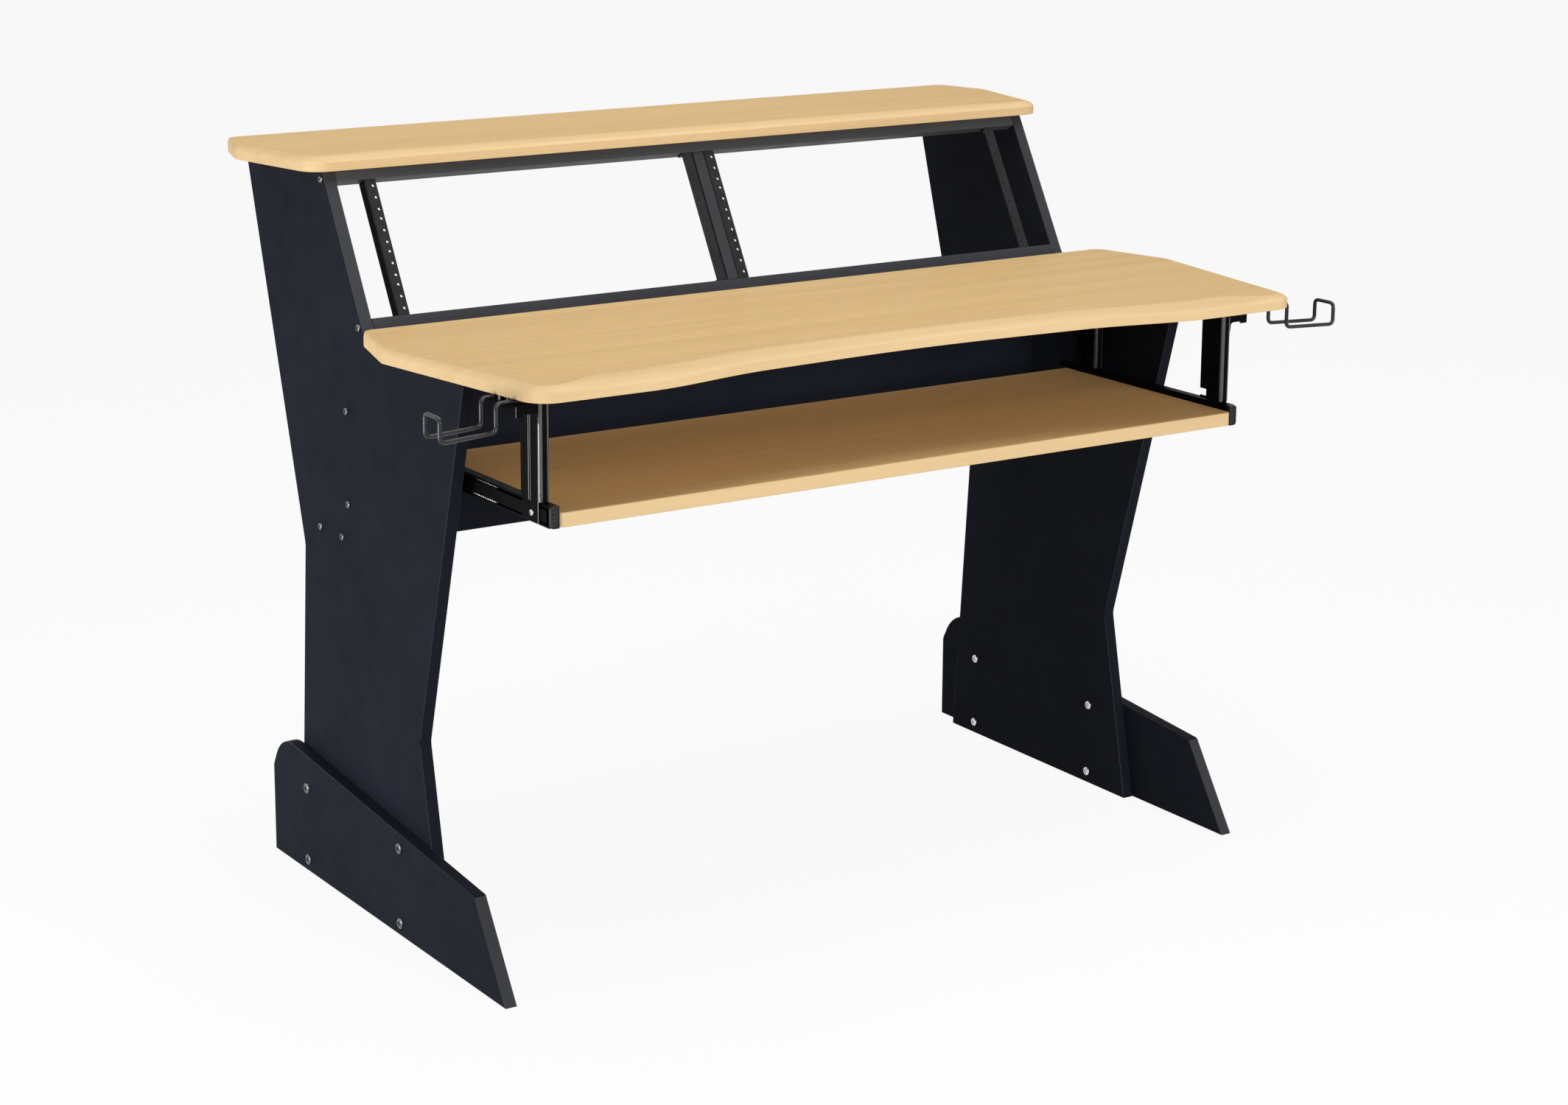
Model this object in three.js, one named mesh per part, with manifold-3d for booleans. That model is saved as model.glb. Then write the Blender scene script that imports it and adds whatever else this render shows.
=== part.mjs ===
// Studio desk: a worktop, two rack bays under a top shelf, a sliding keyboard tray
// and two headphone hooks. Millimetres, +Z up. The user sits at -Y, X runs left to right.
// Y is counted from the rear ends of the feet, forward is negative, and the whole desk
// is shifted at the end so that its origin is the middle of its box on the floor.
import * as THREE from 'three';
import { mergeVertices } from 'three/addons/utils/BufferGeometryUtils.js';
import Module from 'manifold-3d';

const wasm = await Module();
wasm.setup();

// Clearances
const SEAT_GAP = 0.3; // between pieces that rest on each other
const BORE_GAP = 0.35; // round a shank in its bore
const OVERRUN = 2; // cuts run this far past a face

// Rack standard: hole columns, unit height and holes inside one unit
const RACK_HOLE_SPACING = 465.1;
const RACK_UNIT_H = 44.45;
const RACK_UNIT_COUNT = 4;
const RACK_HOLE_PITCH = 15.875;
const HOLES_PER_UNIT = 3;
const RACK_OPENING_GAP = 5.5; // the opening is this much taller than its units
const RACK_HOLE_D = 5;
const RACK_SLANT = THREE.MathUtils.degToRad(29.5);
const BAY_SPACING = 39.6; // between the inner hole columns of the two bays

// Rack rails, the bars that carry them and the post between the bays
const RAIL_FREE_EDGE = 5; // hole centre to the rail's free edge
const RAIL_CORNER = 11; // hole centre to the outside of the folded flange
const RAIL_T = 2;
const RAIL_FLANGE = 16;
const RAIL_TO_PANEL = 37.6;
const SLOT_W = 3;
const SLOT_L = 8;
const BAR_W = 16;
const BAR_DEPTH = 16;
const DIVIDER_W = 16;
const DIVIDER_DEPTH = 24;
const RACK_RISE = 6.2; // lower bar's front edge above the side panel's shoulder

// Boards
const PANEL_T = 16;
const FOOT_T = 16;
const MODESTY_T = 16;
const MODESTY_H = 197;
const MODESTY_DROP = 84.2; // modesty panel's top below the worktop's surface
const MODESTY_Y = -215;
const CABLE_BOARD_T = 16;
const CABLE_BOARD_D = 118;

// Side panel outline
const WORK_HEIGHT = 765;
const WORKTOP_T = 18;
const SLANT_FOOT_Y = -269.8; // where the slanted front meets the shoulder
const SLANT_FILLET = 25;
const SHOULDER_FRONT_Y = -533.2;
const WAIST_FRONT_Y = -400.2;
const WAIST_FRONT_Z = 258.3;
const SOLE_FRONT_Y = -454.5;
const SOLE_REAR_Y = -50.4;
const WAIST_REAR_Y = -83;
const WAIST_REAR_Z = 443.2;
const WAIST_FILLET = 20;
const PANEL_TOP_REAR_Y = 68.7;

// Foot board outline
const FOOT_REAR_Z = 119.3;
const FOOT_CREST_Y = -25.8;
const FOOT_CREST_Z = 168;
const FOOT_CREST_R = 54;
const FOOT_NOSE_Y = -568;
const FOOT_NOSE_Z = 116.2;
const FOOT_NOSE_R = 6;
const FOOT_TOE_Y = -643.3;

// Worktop outline, with its overhangs past the side panels' outer faces
const WORKTOP_REAR_Y = -313.7;
const WORKTOP_WIDE_Y = -429;
const WORKTOP_FRONT_Y = -731;
const WORKTOP_REAR_OVERHANG = 24.7;
const WORKTOP_WIDE_OVERHANG = 56;
const WORKTOP_FRONT_OVERHANG = 13.5;
const WORKTOP_CORNER_R = 34;
const RECESS_DEPTH = 41; // hollow of the front edge in the middle
const RECESS_SHOULDER_DEPTH = 29.5; // hollow where its bend ends
const RECESS_BEND_LENGTH = 186; // along the front, from a wing to that shoulder
const WING_LENGTH = 145; // straight front of a wing, from its corner to the bend
const WING_PULL_SHARE = 0.31;
const SHOULDER_PULL_SHARE = 0.37;
const MIDDLE_PULL_SHARE = 0.35;
const SHOULDER_SLOPE_SHARE = 0.068;

// Top shelf outline
const SHELF_T = 18;
const SHELF_REAR_Y = 69;
const SHELF_WIDE_Y = -11;
const SHELF_FRONT_Y = -177;
const SHELF_REAR_OVERHANG = 27;
const SHELF_WIDE_OVERHANG = 51;
const SHELF_FRONT_OVERHANG = 23;
const SHELF_CORNER_R = 31;
const SIDE_CORNER_R = 18; // both tops' rear and widest corners

// Softened upper edges of the tops: how far in they start and how far they drop
const NOSE_DROP = 7;
const NOSE_WING = 38;
const NOSE_MIDDLE = 30;
const NOSE_CORNER = 14;
const NOSE_SIDE = 5;
const NOSE_REAR = 2;
const NOSE_RUN = 70; // from the corner to where the front softening is full
const SHELF_NOSE_FRONT = 22;
const NOSE_MID_HEIGHT_SHARE = 0.64;
const NOSE_MID_INSET_SHARE = 0.35;

// Keyboard tray
const TRAY_T = 18;
const TRAY_DROP = 141.7; // worktop's underside to the tray's surface
const TRAY_DEPTH = 342;
const TRAY_SETBACK = 52; // tray front behind the worktop's wings
const TRAY_SIDE_ROOM = 28.2; // tray edge to the side panel's inner face
const TRAY_CORNER_R = 6;
const TRAY_NOSE = 2;

// Ball-bearing slides: a channel on the tray, a ball cage and a runner on the hangers
const SLIDE_LENGTH = 350;
const SLIDE_HEIGHT = 26.5;
const SLIDE_WIDTH = 12.4;
const SLIDE_RISE = 3.5; // slide's middle above the tray's middle
const SLIDE_SETBACK = 7; // channel's front behind the tray's front
const CHANNEL_T = 1.5;
const CHANNEL_W = 11.5;
const CHANNEL_LIP = 1.6;
const CHANNEL_LIP_T = 1;
const CAGE_BACK_GAP = 0.6;
const CAGE_T = 1;
const CAGE_W = 7.8;
const CAGE_RAIL = 2.5;
const CAGE_LENGTH = 105;
const CAGE_SETBACK = 134; // cage's front behind the tray's front
const RACE_GAP = 0.85; // between the cage and the races
const RUNNER_T = 1.5;
const RUNNER_W = 8.4;
const RUNNER_SETBACK = 4; // runner's front behind the channel's front
const CAP_T = 4.5;
const CAP_R = 4;

// Hangers: folded channels under the worktop, two for each slide
const HANGER_SETBACK = 22; // front hanger behind the tray's front
const REAR_HANGER_MARGIN = 35; // rear hanger's rear edge before the slide's rear end
const HANGER_D = 41;
const HANGER_W = 14.3;
const HANGER_T = 2;
const HANGER_CORNER_R = 4;
const HANGER_SLIDE_GAP = 0.9;
const LAND_D = 19; // raised land on the hanger's outer wall
const LAND_T = 2.2;
const LAND_TOP = 32; // land's top below the hanger's top
const TAB_RISE = 1.5; // hanger's tab above the slide's lower edge
const TAB_SCREW_SETBACK = 18;
const FLANGE_REACH = 43;
const FLANGE_T = 3;
const FLANGE_RIB = 27.5;
const FLANGE_END = 30;
const FLANGE_END_W = 11.5;
const FLANGE_FILLET = 6;
const NOTCH_D = 12;
const NOTCH_H = 9;
const NOTCH_RISE = 4;
const FLANGE_SCREW_MARGIN = 11;

// Headphone hooks: one bent wire each, clamped under the worktop by a plate
const WIRE_D = 5;
const WIRE_SIDES = 8;
const WIRE_STEPS = 84;
const WIRE_BEND_R = 7;
const HOOK_SETBACK = 63.5; // hook's middle behind the worktop's wings
const HOOK_SPREAD = 35;
const HOOK_TAIL = 40;
const HOOK_LEG_OUT = 28; // leg outside the worktop's front corner
const HOOK_DROP = 33;
const HOOK_ARM = 75;
const HOOK_ARM_FALL = 2;
const HOOK_ARM_FORWARD = 8;
const HOOK_TIP_RISE = 28;
const HOOK_PLATE_T = 2;
const HOOK_PLATE_W = 26;
const HOOK_PLATE_MARGIN = 9; // plate past the wires' centres
const HOOK_PLATE_SETBACK = 6; // plate's outer edge inside the leg

// Bolts through foot and side panel
const BOLT_SHANK_D = 7;
const BOLT_HEAD_D = 14;
const BOLT_HEAD_H = 2.4;
const BOLT_NUT_D = 12;
const BOLT_NUT_H = 2;
const BOLT_REAR_Y = -104;
const BOLT_FRONT_Y = -371;
const BOLT_LOW_Z = 16.5;
const BOLT_HIGH_Z = 115.5;

// Screws through the side panels into board ends
const SCREW_SHANK_D = 5;
const SCREW_HEAD_D = 9.5;
const SCREW_HEAD_H = 2.4;
const SCREW_GRIP = 32;
const MODESTY_SCREW_MARGIN = 38.2;
const CABLE_SCREW_MARGIN = 27.5;

// Small screws of the hangers
const SMALL_SHANK_D = 4;
const SMALL_HEAD_D = 8;
const SMALL_HEAD_H = 2.2;
const SMALL_GRIP = 10;
const HEAD_CROWN_SHARE = 0.6;
const HEAD_RIM_SHARE = 0.45;
const ROUND_SIDES = 14;
const BOARD_HOLE_SIDES = 12;
const ARC_STEPS = 4;
const WIDE_ARC_STEPS = 6;
const TIGHT_ARC_STEPS = 3;
const BEND_STEPS = 9;
const HOLLOW_STEPS = 5;
const SMALL_ROUND_SIDES = 10;

// Places that follow from the sizes
const slantSin = Math.sin(RACK_SLANT);
const slantCos = Math.cos(RACK_SLANT);
const innerColumn = BAY_SPACING / 2;
const outerColumn = innerColumn + RACK_HOLE_SPACING;
const innerHalf = outerColumn + RAIL_CORNER + RAIL_TO_PANEL;
const outerHalf = innerHalf + PANEL_T;
const footHalf = outerHalf + SEAT_GAP + FOOT_T;
const boardHalf = innerHalf - SEAT_GAP;
const worktopUnder = WORK_HEIGHT - WORKTOP_T;
const shoulderZ = worktopUnder - SEAT_GAP;
const topBarEnd = SEAT_GAP + BAR_W;
const lowBarStart = topBarEnd + RACK_UNIT_COUNT * RACK_UNIT_H + RACK_OPENING_GAP;
const lowBarEnd = lowBarStart + BAR_W;
const rackTopZ = shoulderZ + RACK_RISE + lowBarEnd * slantCos;
const rackTopY = SLANT_FOOT_Y + (rackTopZ - shoulderZ) * (slantSin / slantCos);
const shelfUnder = rackTopZ + SEAT_GAP;
const trayHalf = innerHalf - TRAY_SIDE_ROOM;
const trayTop = worktopUnder - TRAY_DROP;
const trayFrontY = WORKTOP_FRONT_Y + TRAY_SETBACK;
const slideZ = trayTop - TRAY_T / 2 + SLIDE_RISE;
const slideFrontY = trayFrontY + SLIDE_SETBACK;
const slideInner = trayHalf + SEAT_GAP;
const slideOuter = slideInner + SLIDE_WIDTH;
const hangerTop = worktopUnder - SEAT_GAP;
const hangerBottom = slideZ + SLIDE_HEIGHT / 2 + HANGER_SLIDE_GAP;
const hangerFrontY = trayFrontY + HANGER_SETBACK;
const hangerRearY = hangerFrontY + HANGER_D;
const hangerSpacing = slideFrontY + SLIDE_LENGTH - REAR_HANGER_MARGIN - hangerRearY;
const hangerOuter = slideOuter + SEAT_GAP + HANGER_T;
const hangerInner = hangerOuter - HANGER_W;
const flangeScrewYs = [hangerFrontY + FLANGE_SCREW_MARGIN, hangerRearY - FLANGE_SCREW_MARGIN];
const tabScrewY = hangerFrontY + TAB_SCREW_SETBACK;
const hangers = { front: { shift: 0, outward: 1 }, rear: { shift: hangerSpacing, outward: -1 } };
const hookY = WORKTOP_FRONT_Y + HOOK_SETBACK;
const hookLegX = outerHalf + WORKTOP_FRONT_OVERHANG + HOOK_LEG_OUT;
const wireZ = worktopUnder - SEAT_GAP - WIRE_D / 2;
const modestyBottom = WORK_HEIGHT - MODESTY_DROP - MODESTY_H;
const cableBoardTop = modestyBottom - SEAT_GAP;
const backFrontY = MODESTY_Y - MODESTY_T / 2;
const backRearY = backFrontY + CABLE_BOARD_D;

// Places of the fasteners in the side panels, each [y, z]
const footBolts = [
  [BOLT_FRONT_Y, BOLT_LOW_Z],
  [BOLT_FRONT_Y, BOLT_HIGH_Z],
  [BOLT_REAR_Y, BOLT_LOW_Z],
  [BOLT_REAR_Y, BOLT_HIGH_Z],
];
const modestyScrews = [
  [MODESTY_Y, modestyBottom + MODESTY_SCREW_MARGIN],
  [MODESTY_Y, modestyBottom + MODESTY_H - MODESTY_SCREW_MARGIN],
];
const cableScrews = [
  [backFrontY + CABLE_SCREW_MARGIN, cableBoardTop - CABLE_BOARD_T / 2],
  [backRearY - CABLE_SCREW_MARGIN, cableBoardTop - CABLE_BOARD_T / 2],
];
const barMiddles = { top: topBarEnd - BAR_W / 2, bottom: lowBarEnd - BAR_W / 2 };

const FINISH = {
  maple: { color: 0xd9c49a, roughness: 0.45, metalness: 0 },
  board: { color: 0x2b2d30, roughness: 0.6, metalness: 0 },
  steel: { color: 0x1b1c1e, roughness: 0.4, metalness: 0.6 },
  slide: { color: 0x26282a, roughness: 0.35, metalness: 0.7 },
  cage: { color: 0xa9abad, roughness: 0.3, metalness: 0.9 },
  plastic: { color: 0x141414, roughness: 0.5, metalness: 0 },
  zinc: { color: 0xc8cacc, roughness: 0.3, metalness: 0.9 },
  wire: { color: 0x0c0c0d, roughness: 0.2, metalness: 0 },
};

/** Adds a named mesh with a material of its own to a group. */
function place(group, name, geometry, finish) {
  const mesh = new THREE.Mesh(geometry, new THREE.MeshStandardMaterial(FINISH[finish]));
  mesh.name = name;
  group.add(mesh);
}

/** Adds a piece of the right-hand side and its mirror image. */
function placePair(group, name, geometry, finish) {
  place(group, `${name}_right`, geometry, finish);
  place(group, `${name}_left`, mirrored(geometry), finish);
}

/** Mirrors a geometry left to right and keeps its faces pointing out. */
function mirrored(geometry) {
  const copy = geometry.index ? geometry.toNonIndexed() : geometry.clone();
  const source = copy.attributes.position.clone();
  const target = copy.attributes.position;
  for (let index = 0; index < source.count; index += 1) {
    const swapped = index + [0, 1, -1][index % 3];
    target.setXYZ(index, -source.getX(swapped), source.getY(swapped), source.getZ(swapped));
  }
  copy.computeVertexNormals();
  return copy;
}

/** Turns a closed geometry into a solid that can be joined and cut. */
function toSolid(geometry) {
  const bare = geometry.clone();
  bare.deleteAttribute('normal');
  bare.deleteAttribute('uv');
  const merged = mergeVertices(bare);
  const mesh = new wasm.Mesh({
    numProp: 3,
    vertProperties: Float32Array.from(merged.attributes.position.array),
    triVerts: Uint32Array.from(merged.index.array),
  });
  return new wasm.Manifold(mesh);
}

/** Turns a solid back into a geometry. */
function toGeometry(solid) {
  const mesh = solid.getMesh();
  const shared = new THREE.BufferGeometry();
  shared.setAttribute('position', new THREE.BufferAttribute(Float32Array.from(mesh.vertProperties), 3));
  shared.setIndex(new THREE.BufferAttribute(Uint32Array.from(mesh.triVerts), 1));
  const geometry = shared.toNonIndexed();
  geometry.computeVertexNormals();
  return geometry;
}

/** Joins pieces and takes the cutters away from them. */
function carve(pieces, cutters = []) {
  let solid = toSolid(pieces[0]);
  for (const piece of pieces.slice(1)) solid = solid.add(toSolid(piece));
  for (const cutter of cutters) solid = solid.subtract(toSolid(cutter));
  return toGeometry(solid);
}

/** Box between two corners. */
function box(x0, x1, y0, y1, z0, z1) {
  const geometry = new THREE.BoxGeometry(x1 - x0, y1 - y0, z1 - z0);
  geometry.translate((x0 + x1) / 2, (y0 + y1) / 2, (z0 + z1) / 2);
  return geometry;
}

/** Turns a geometry from +Y to a direction and moves it to a point. */
function aim(geometry, direction, point) {
  const turn = new THREE.Quaternion().setFromUnitVectors(new THREE.Vector3(0, 1, 0), direction);
  geometry.applyQuaternion(turn);
  geometry.translate(...point);
  return geometry;
}

/** Round cutter or pin between two points. */
function pin(from, to, diameter, sides) {
  const start = new THREE.Vector3(...from);
  const end = new THREE.Vector3(...to);
  const length = start.distanceTo(end);
  const geometry = new THREE.CylinderGeometry(diameter / 2, diameter / 2, length, sides);
  const middle = start.clone().add(end).divideScalar(2);
  return aim(geometry, end.sub(start).normalize(), middle.toArray());
}

/** Outline from corners [x, y, radius]; a corner without a radius stays sharp. */
function rounded(corners, arcSteps = ARC_STEPS) {
  const points = [];
  corners.forEach(([x, y, radius = 0], index) => {
    const here = new THREE.Vector2(x, y);
    if (radius === 0) {
      points.push(here);
      return;
    }
    const before = corners[(index + corners.length - 1) % corners.length];
    const after = corners[(index + 1) % corners.length];
    const toBefore = new THREE.Vector2(before[0] - x, before[1] - y).normalize();
    const toAfter = new THREE.Vector2(after[0] - x, after[1] - y).normalize();
    const half = Math.acos(toBefore.dot(toAfter)) / 2;
    const inward = toBefore.clone().add(toAfter).normalize();
    const centre = here.clone().addScaledVector(inward, radius / Math.sin(half));
    const start = here.clone().addScaledVector(toBefore, radius / Math.tan(half)).sub(centre);
    const end = here.clone().addScaledVector(toAfter, radius / Math.tan(half)).sub(centre);
    const sweep = Math.atan2(start.cross(end), start.dot(end));
    for (let step = 0; step <= arcSteps; step += 1) {
      const spoke = start.clone().rotateAround(new THREE.Vector2(), (sweep * step) / arcSteps);
      points.push(spoke.add(centre));
    }
  });
  return points;
}

/** Regular polygon that stands for a circle. */
function circle(x, y, diameter, sides) {
  const points = [];
  for (let side = 0; side < sides; side += 1) {
    const angle = (2 * Math.PI * side) / sides;
    const spoke = new THREE.Vector2(Math.cos(angle), Math.sin(angle));
    points.push(spoke.multiplyScalar(diameter / 2).add(new THREE.Vector2(x, y)));
  }
  return points;
}

/** Extrudes an outline in Y and Z along X, with rows of round holes of one diameter each. */
function extrudeAlongX(outline, x0, x1, holes = []) {
  const shape = new THREE.Shape(outline);
  for (const [places, diameter, sides] of holes) {
    for (const [y, z] of places) {
      shape.holes.push(new THREE.Path(circle(y, z, diameter, sides)));
    }
  }
  const geometry = new THREE.ExtrudeGeometry(shape, { depth: x1 - x0, bevelEnabled: false });
  const axes = [[0, 1, 0], [0, 0, 1], [1, 0, 0]].map((axis) => new THREE.Vector3(...axis));
  geometry.applyMatrix4(new THREE.Matrix4().makeBasis(...axes));
  geometry.translate(x0, 0, 0);
  return geometry;
}

/** Extrudes an outline in X and Z along Y. */
function extrudeAlongY(outline, y0, y1) {
  const shape = new THREE.Shape(outline);
  const geometry = new THREE.ExtrudeGeometry(shape, { depth: y1 - y0, bevelEnabled: false });
  geometry.rotateX(Math.PI / 2);
  geometry.translate(0, y1, 0);
  return geometry;
}

/** Extrudes an outline in X and Y along Z. */
function extrudeAlongZ(outline, z0, z1) {
  const shape = new THREE.Shape(outline);
  const geometry = new THREE.ExtrudeGeometry(shape, { depth: z1 - z0, bevelEnabled: false });
  geometry.translate(0, 0, z0);
  return geometry;
}

/** Closed body through rings of equal point count, each at its own height. */
function loft(rings, heights) {
  const count = rings[0].length;
  const positions = rings.flatMap((ring, level) => ring.flatMap(({ x, y }) => [x, y, heights[level]]));
  const faces = [];
  for (let level = 0; level < rings.length - 1; level += 1) {
    for (let at = 0; at < count; at += 1) {
      const here = level * count + at;
      const next = level * count + ((at + 1) % count);
      faces.push(here, next, next + count, here, next + count, here + count);
    }
  }
  const topStart = (rings.length - 1) * count;
  for (const [a, b, c] of THREE.ShapeUtils.triangulateShape(rings[0], [])) faces.push(a, c, b);
  for (const [a, b, c] of THREE.ShapeUtils.triangulateShape(rings[rings.length - 1], [])) {
    faces.push(topStart + a, topStart + b, topStart + c);
  }
  const shared = new THREE.BufferGeometry();
  shared.setAttribute('position', new THREE.Float32BufferAttribute(positions, 3));
  shared.setIndex(faces);
  const geometry = shared.toNonIndexed();
  geometry.computeVertexNormals();
  return geometry;
}

/** Ring moved inwards, each point by its own depth of softening times a share. */
function insetRing(entries, share) {
  return entries.map(({ x, y, soft }, index) => {
    const before = entries[(index + entries.length - 1) % entries.length];
    const after = entries[(index + 1) % entries.length];
    const along = new THREE.Vector2(after.x - before.x, after.y - before.y).normalize();
    return new THREE.Vector2(x - along.y * soft * share, y + along.x * soft * share);
  });
}

/** Level board whose upper edge is softened as its outline's entries say. */
function softBoard(entries, bottom, thickness, drop) {
  const shares = [0, 0, NOSE_MID_INSET_SHARE, 1];
  const bandStart = bottom + thickness - drop;
  const heights = [bottom, bandStart, bandStart + drop * NOSE_MID_HEIGHT_SHARE, bottom + thickness];
  return loft(shares.map((share) => insetRing(entries, share)), heights);
}

/** Closed outline from its right half, which is given from the rear to the front. */
function wholeOutline(rightHalf) {
  const offAxis = rightHalf.filter((entry) => entry.x !== 0);
  const leftHalf = offAxis.map((entry) => ({ ...entry, x: -entry.x })).reverse();
  return [...rightHalf, ...leftHalf].reverse();
}

/** Entries of one rounded corner with the same softening all along. */
function softCorner(before, corner, after, radius, soft, steps) {
  const outline = rounded([before, [...corner, radius], after], steps);
  return outline.slice(1, -1).map(({ x, y }) => ({ x, y, soft }));
}

/** Right side of a top board: slanted to its widest place, then in to a round front corner. */
function topSide(rear, wide, front, radius, frontSoft) {
  const inside = [0, front[1]];
  return [
    ...softCorner([0, rear[1]], rear, wide, SIDE_CORNER_R, NOSE_REAR, TIGHT_ARC_STEPS),
    ...softCorner(rear, wide, front, SIDE_CORNER_R, NOSE_SIDE, TIGHT_ARC_STEPS),
    ...softCorner(wide, front, inside, radius, NOSE_CORNER, WIDE_ARC_STEPS),
    { x: front[0] - radius - NOSE_RUN, y: front[1], soft: frontSoft },
  ];
}

/** Outline of the worktop, with the hollow in its front edge. */
function worktopOutline() {
  const side = topSide(
    [outerHalf + WORKTOP_REAR_OVERHANG, WORKTOP_REAR_Y],
    [outerHalf + WORKTOP_WIDE_OVERHANG, WORKTOP_WIDE_Y],
    [outerHalf + WORKTOP_FRONT_OVERHANG, WORKTOP_FRONT_Y],
    WORKTOP_CORNER_R, NOSE_WING);
  const shoulderY = WORKTOP_FRONT_Y + RECESS_SHOULDER_DEPTH;
  const middleY = WORKTOP_FRONT_Y + RECESS_DEPTH;
  const wingX = outerHalf + WORKTOP_FRONT_OVERHANG - WING_LENGTH;
  const shoulderX = wingX - RECESS_BEND_LENGTH;
  const shoulderPull = RECESS_BEND_LENGTH * SHOULDER_PULL_SHARE;
  const middlePull = shoulderX * MIDDLE_PULL_SHARE;
  const bend = new THREE.CubicBezierCurve(
    new THREE.Vector2(wingX, WORKTOP_FRONT_Y),
    new THREE.Vector2(wingX - RECESS_BEND_LENGTH * WING_PULL_SHARE, WORKTOP_FRONT_Y),
    new THREE.Vector2(shoulderX + shoulderPull, shoulderY - shoulderPull * SHOULDER_SLOPE_SHARE),
    new THREE.Vector2(shoulderX, shoulderY));
  const hollow = new THREE.CubicBezierCurve(
    new THREE.Vector2(shoulderX, shoulderY),
    new THREE.Vector2(shoulderX - middlePull, shoulderY + middlePull * SHOULDER_SLOPE_SHARE),
    new THREE.Vector2(middlePull, middleY),
    new THREE.Vector2(0, middleY));
  const curve = [...bend.getPoints(BEND_STEPS), ...hollow.getPoints(HOLLOW_STEPS).slice(1)];
  const front = curve.map(({ x, y }) => {
    const soft = NOSE_MIDDLE + ((NOSE_WING - NOSE_MIDDLE) * x) / wingX;
    return { x, y, soft };
  });
  return wholeOutline([...side, ...front]);
}

/** Outline of the top shelf. */
function shelfOutline() {
  return wholeOutline(topSide(
    [outerHalf + SHELF_REAR_OVERHANG, SHELF_REAR_Y],
    [outerHalf + SHELF_WIDE_OVERHANG, SHELF_WIDE_Y],
    [outerHalf + SHELF_FRONT_OVERHANG, SHELF_FRONT_Y],
    SHELF_CORNER_R, SHELF_NOSE_FRONT));
}

/** Outline of the keyboard tray. */
function trayOutline() {
  const rearY = trayFrontY + TRAY_DEPTH;
  return wholeOutline([
    { x: trayHalf, y: rearY, soft: TRAY_NOSE },
    ...softCorner([trayHalf, rearY], [trayHalf, trayFrontY], [0, trayFrontY],
      TRAY_CORNER_R, TRAY_NOSE, ARC_STEPS),
  ]);
}

/** Fastener with its head's seat at the origin, head up +Y; a nut closes it if it has one. */
function fastener(shankD, headD, headH, length, nutD = 0, nutH = 0) {
  const profile = [
    [0, -length],
    [shankD / 2, -length],
    [shankD / 2, 0],
    [headD / 2, 0],
    [headD / 2, headH * HEAD_RIM_SHARE],
    [(headD / 2) * HEAD_CROWN_SHARE, headH],
    [0, headH],
  ];
  if (nutD > 0) {
    profile.splice(0, 1,
      [0, -length - nutH],
      [(nutD / 2) * HEAD_CROWN_SHARE, -length - nutH],
      [nutD / 2, -length - nutH * HEAD_RIM_SHARE],
      [nutD / 2, -length]);
  }
  const points = profile.map(([radius, height]) => new THREE.Vector2(radius, height));
  return new THREE.LatheGeometry(points, ROUND_SIDES);
}

/** Diameter of the hole that a shank of a given diameter passes through. */
function clearance(shankD) {
  return shankD + 2 * BORE_GAP;
}

/** Side panel: raked legs below, a shoulder for the worktop and a slanted rack front. */
function sidePanel() {
  const outline = rounded([
    [PANEL_TOP_REAR_Y, rackTopZ],
    [rackTopY, rackTopZ],
    [SLANT_FOOT_Y, shoulderZ, SLANT_FILLET],
    [SHOULDER_FRONT_Y, shoulderZ],
    [WAIST_FRONT_Y, WAIST_FRONT_Z, WAIST_FILLET],
    [SOLE_FRONT_Y, 0],
    [SOLE_REAR_Y, 0],
    [WAIST_REAR_Y, WAIST_REAR_Z, WAIST_FILLET],
  ]);
  const barScrews = Object.values(barMiddles).map((middle) => [
    rackTopY - middle * slantSin + (BAR_DEPTH / 2) * slantCos,
    rackTopZ - middle * slantCos - (BAR_DEPTH / 2) * slantSin,
  ]);
  return extrudeAlongX(outline, innerHalf, outerHalf, [
    [footBolts, clearance(BOLT_SHANK_D), BOARD_HOLE_SIDES],
    [[...modestyScrews, ...cableScrews, ...barScrews], clearance(SCREW_SHANK_D), BOARD_HOLE_SIDES],
  ]);
}

/** Foot board, bolted flat against the outside of the side panel. */
function footBoard() {
  const outline = rounded([
    [0, 0],
    [0, FOOT_REAR_Z],
    [FOOT_CREST_Y, FOOT_CREST_Z, FOOT_CREST_R],
    [FOOT_NOSE_Y, FOOT_NOSE_Z, FOOT_NOSE_R],
    [FOOT_TOE_Y, 0],
  ], WIDE_ARC_STEPS);
  return extrudeAlongX(outline, outerHalf + SEAT_GAP, footHalf, [
    [footBolts, clearance(BOLT_SHANK_D), BOARD_HOLE_SIDES],
  ]);
}

/** Blind bores in both ends of a board that spans between the side panels. */
function endBores(places) {
  const depth = SCREW_GRIP + SEAT_GAP;
  return places.flatMap(([y, z]) => [-1, 1].map((side) => pin(
    [side * (boardHalf - depth), y, z],
    [side * (boardHalf + OVERRUN), y, z],
    clearance(SCREW_SHANK_D), SMALL_ROUND_SIDES)));
}

/** Upright panel behind the user's knees. */
function modestyPanel() {
  const board = box(-boardHalf, boardHalf, backFrontY, backFrontY + MODESTY_T,
    modestyBottom, modestyBottom + MODESTY_H);
  return carve([board], endBores(modestyScrews));
}

/** Flat board under the modesty panel, for power strips and cables. */
function cableBoard() {
  const board = box(-boardHalf, boardHalf, backFrontY, backRearY,
    cableBoardTop - CABLE_BOARD_T, cableBoardTop);
  return carve([board], endBores(cableScrews));
}

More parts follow.
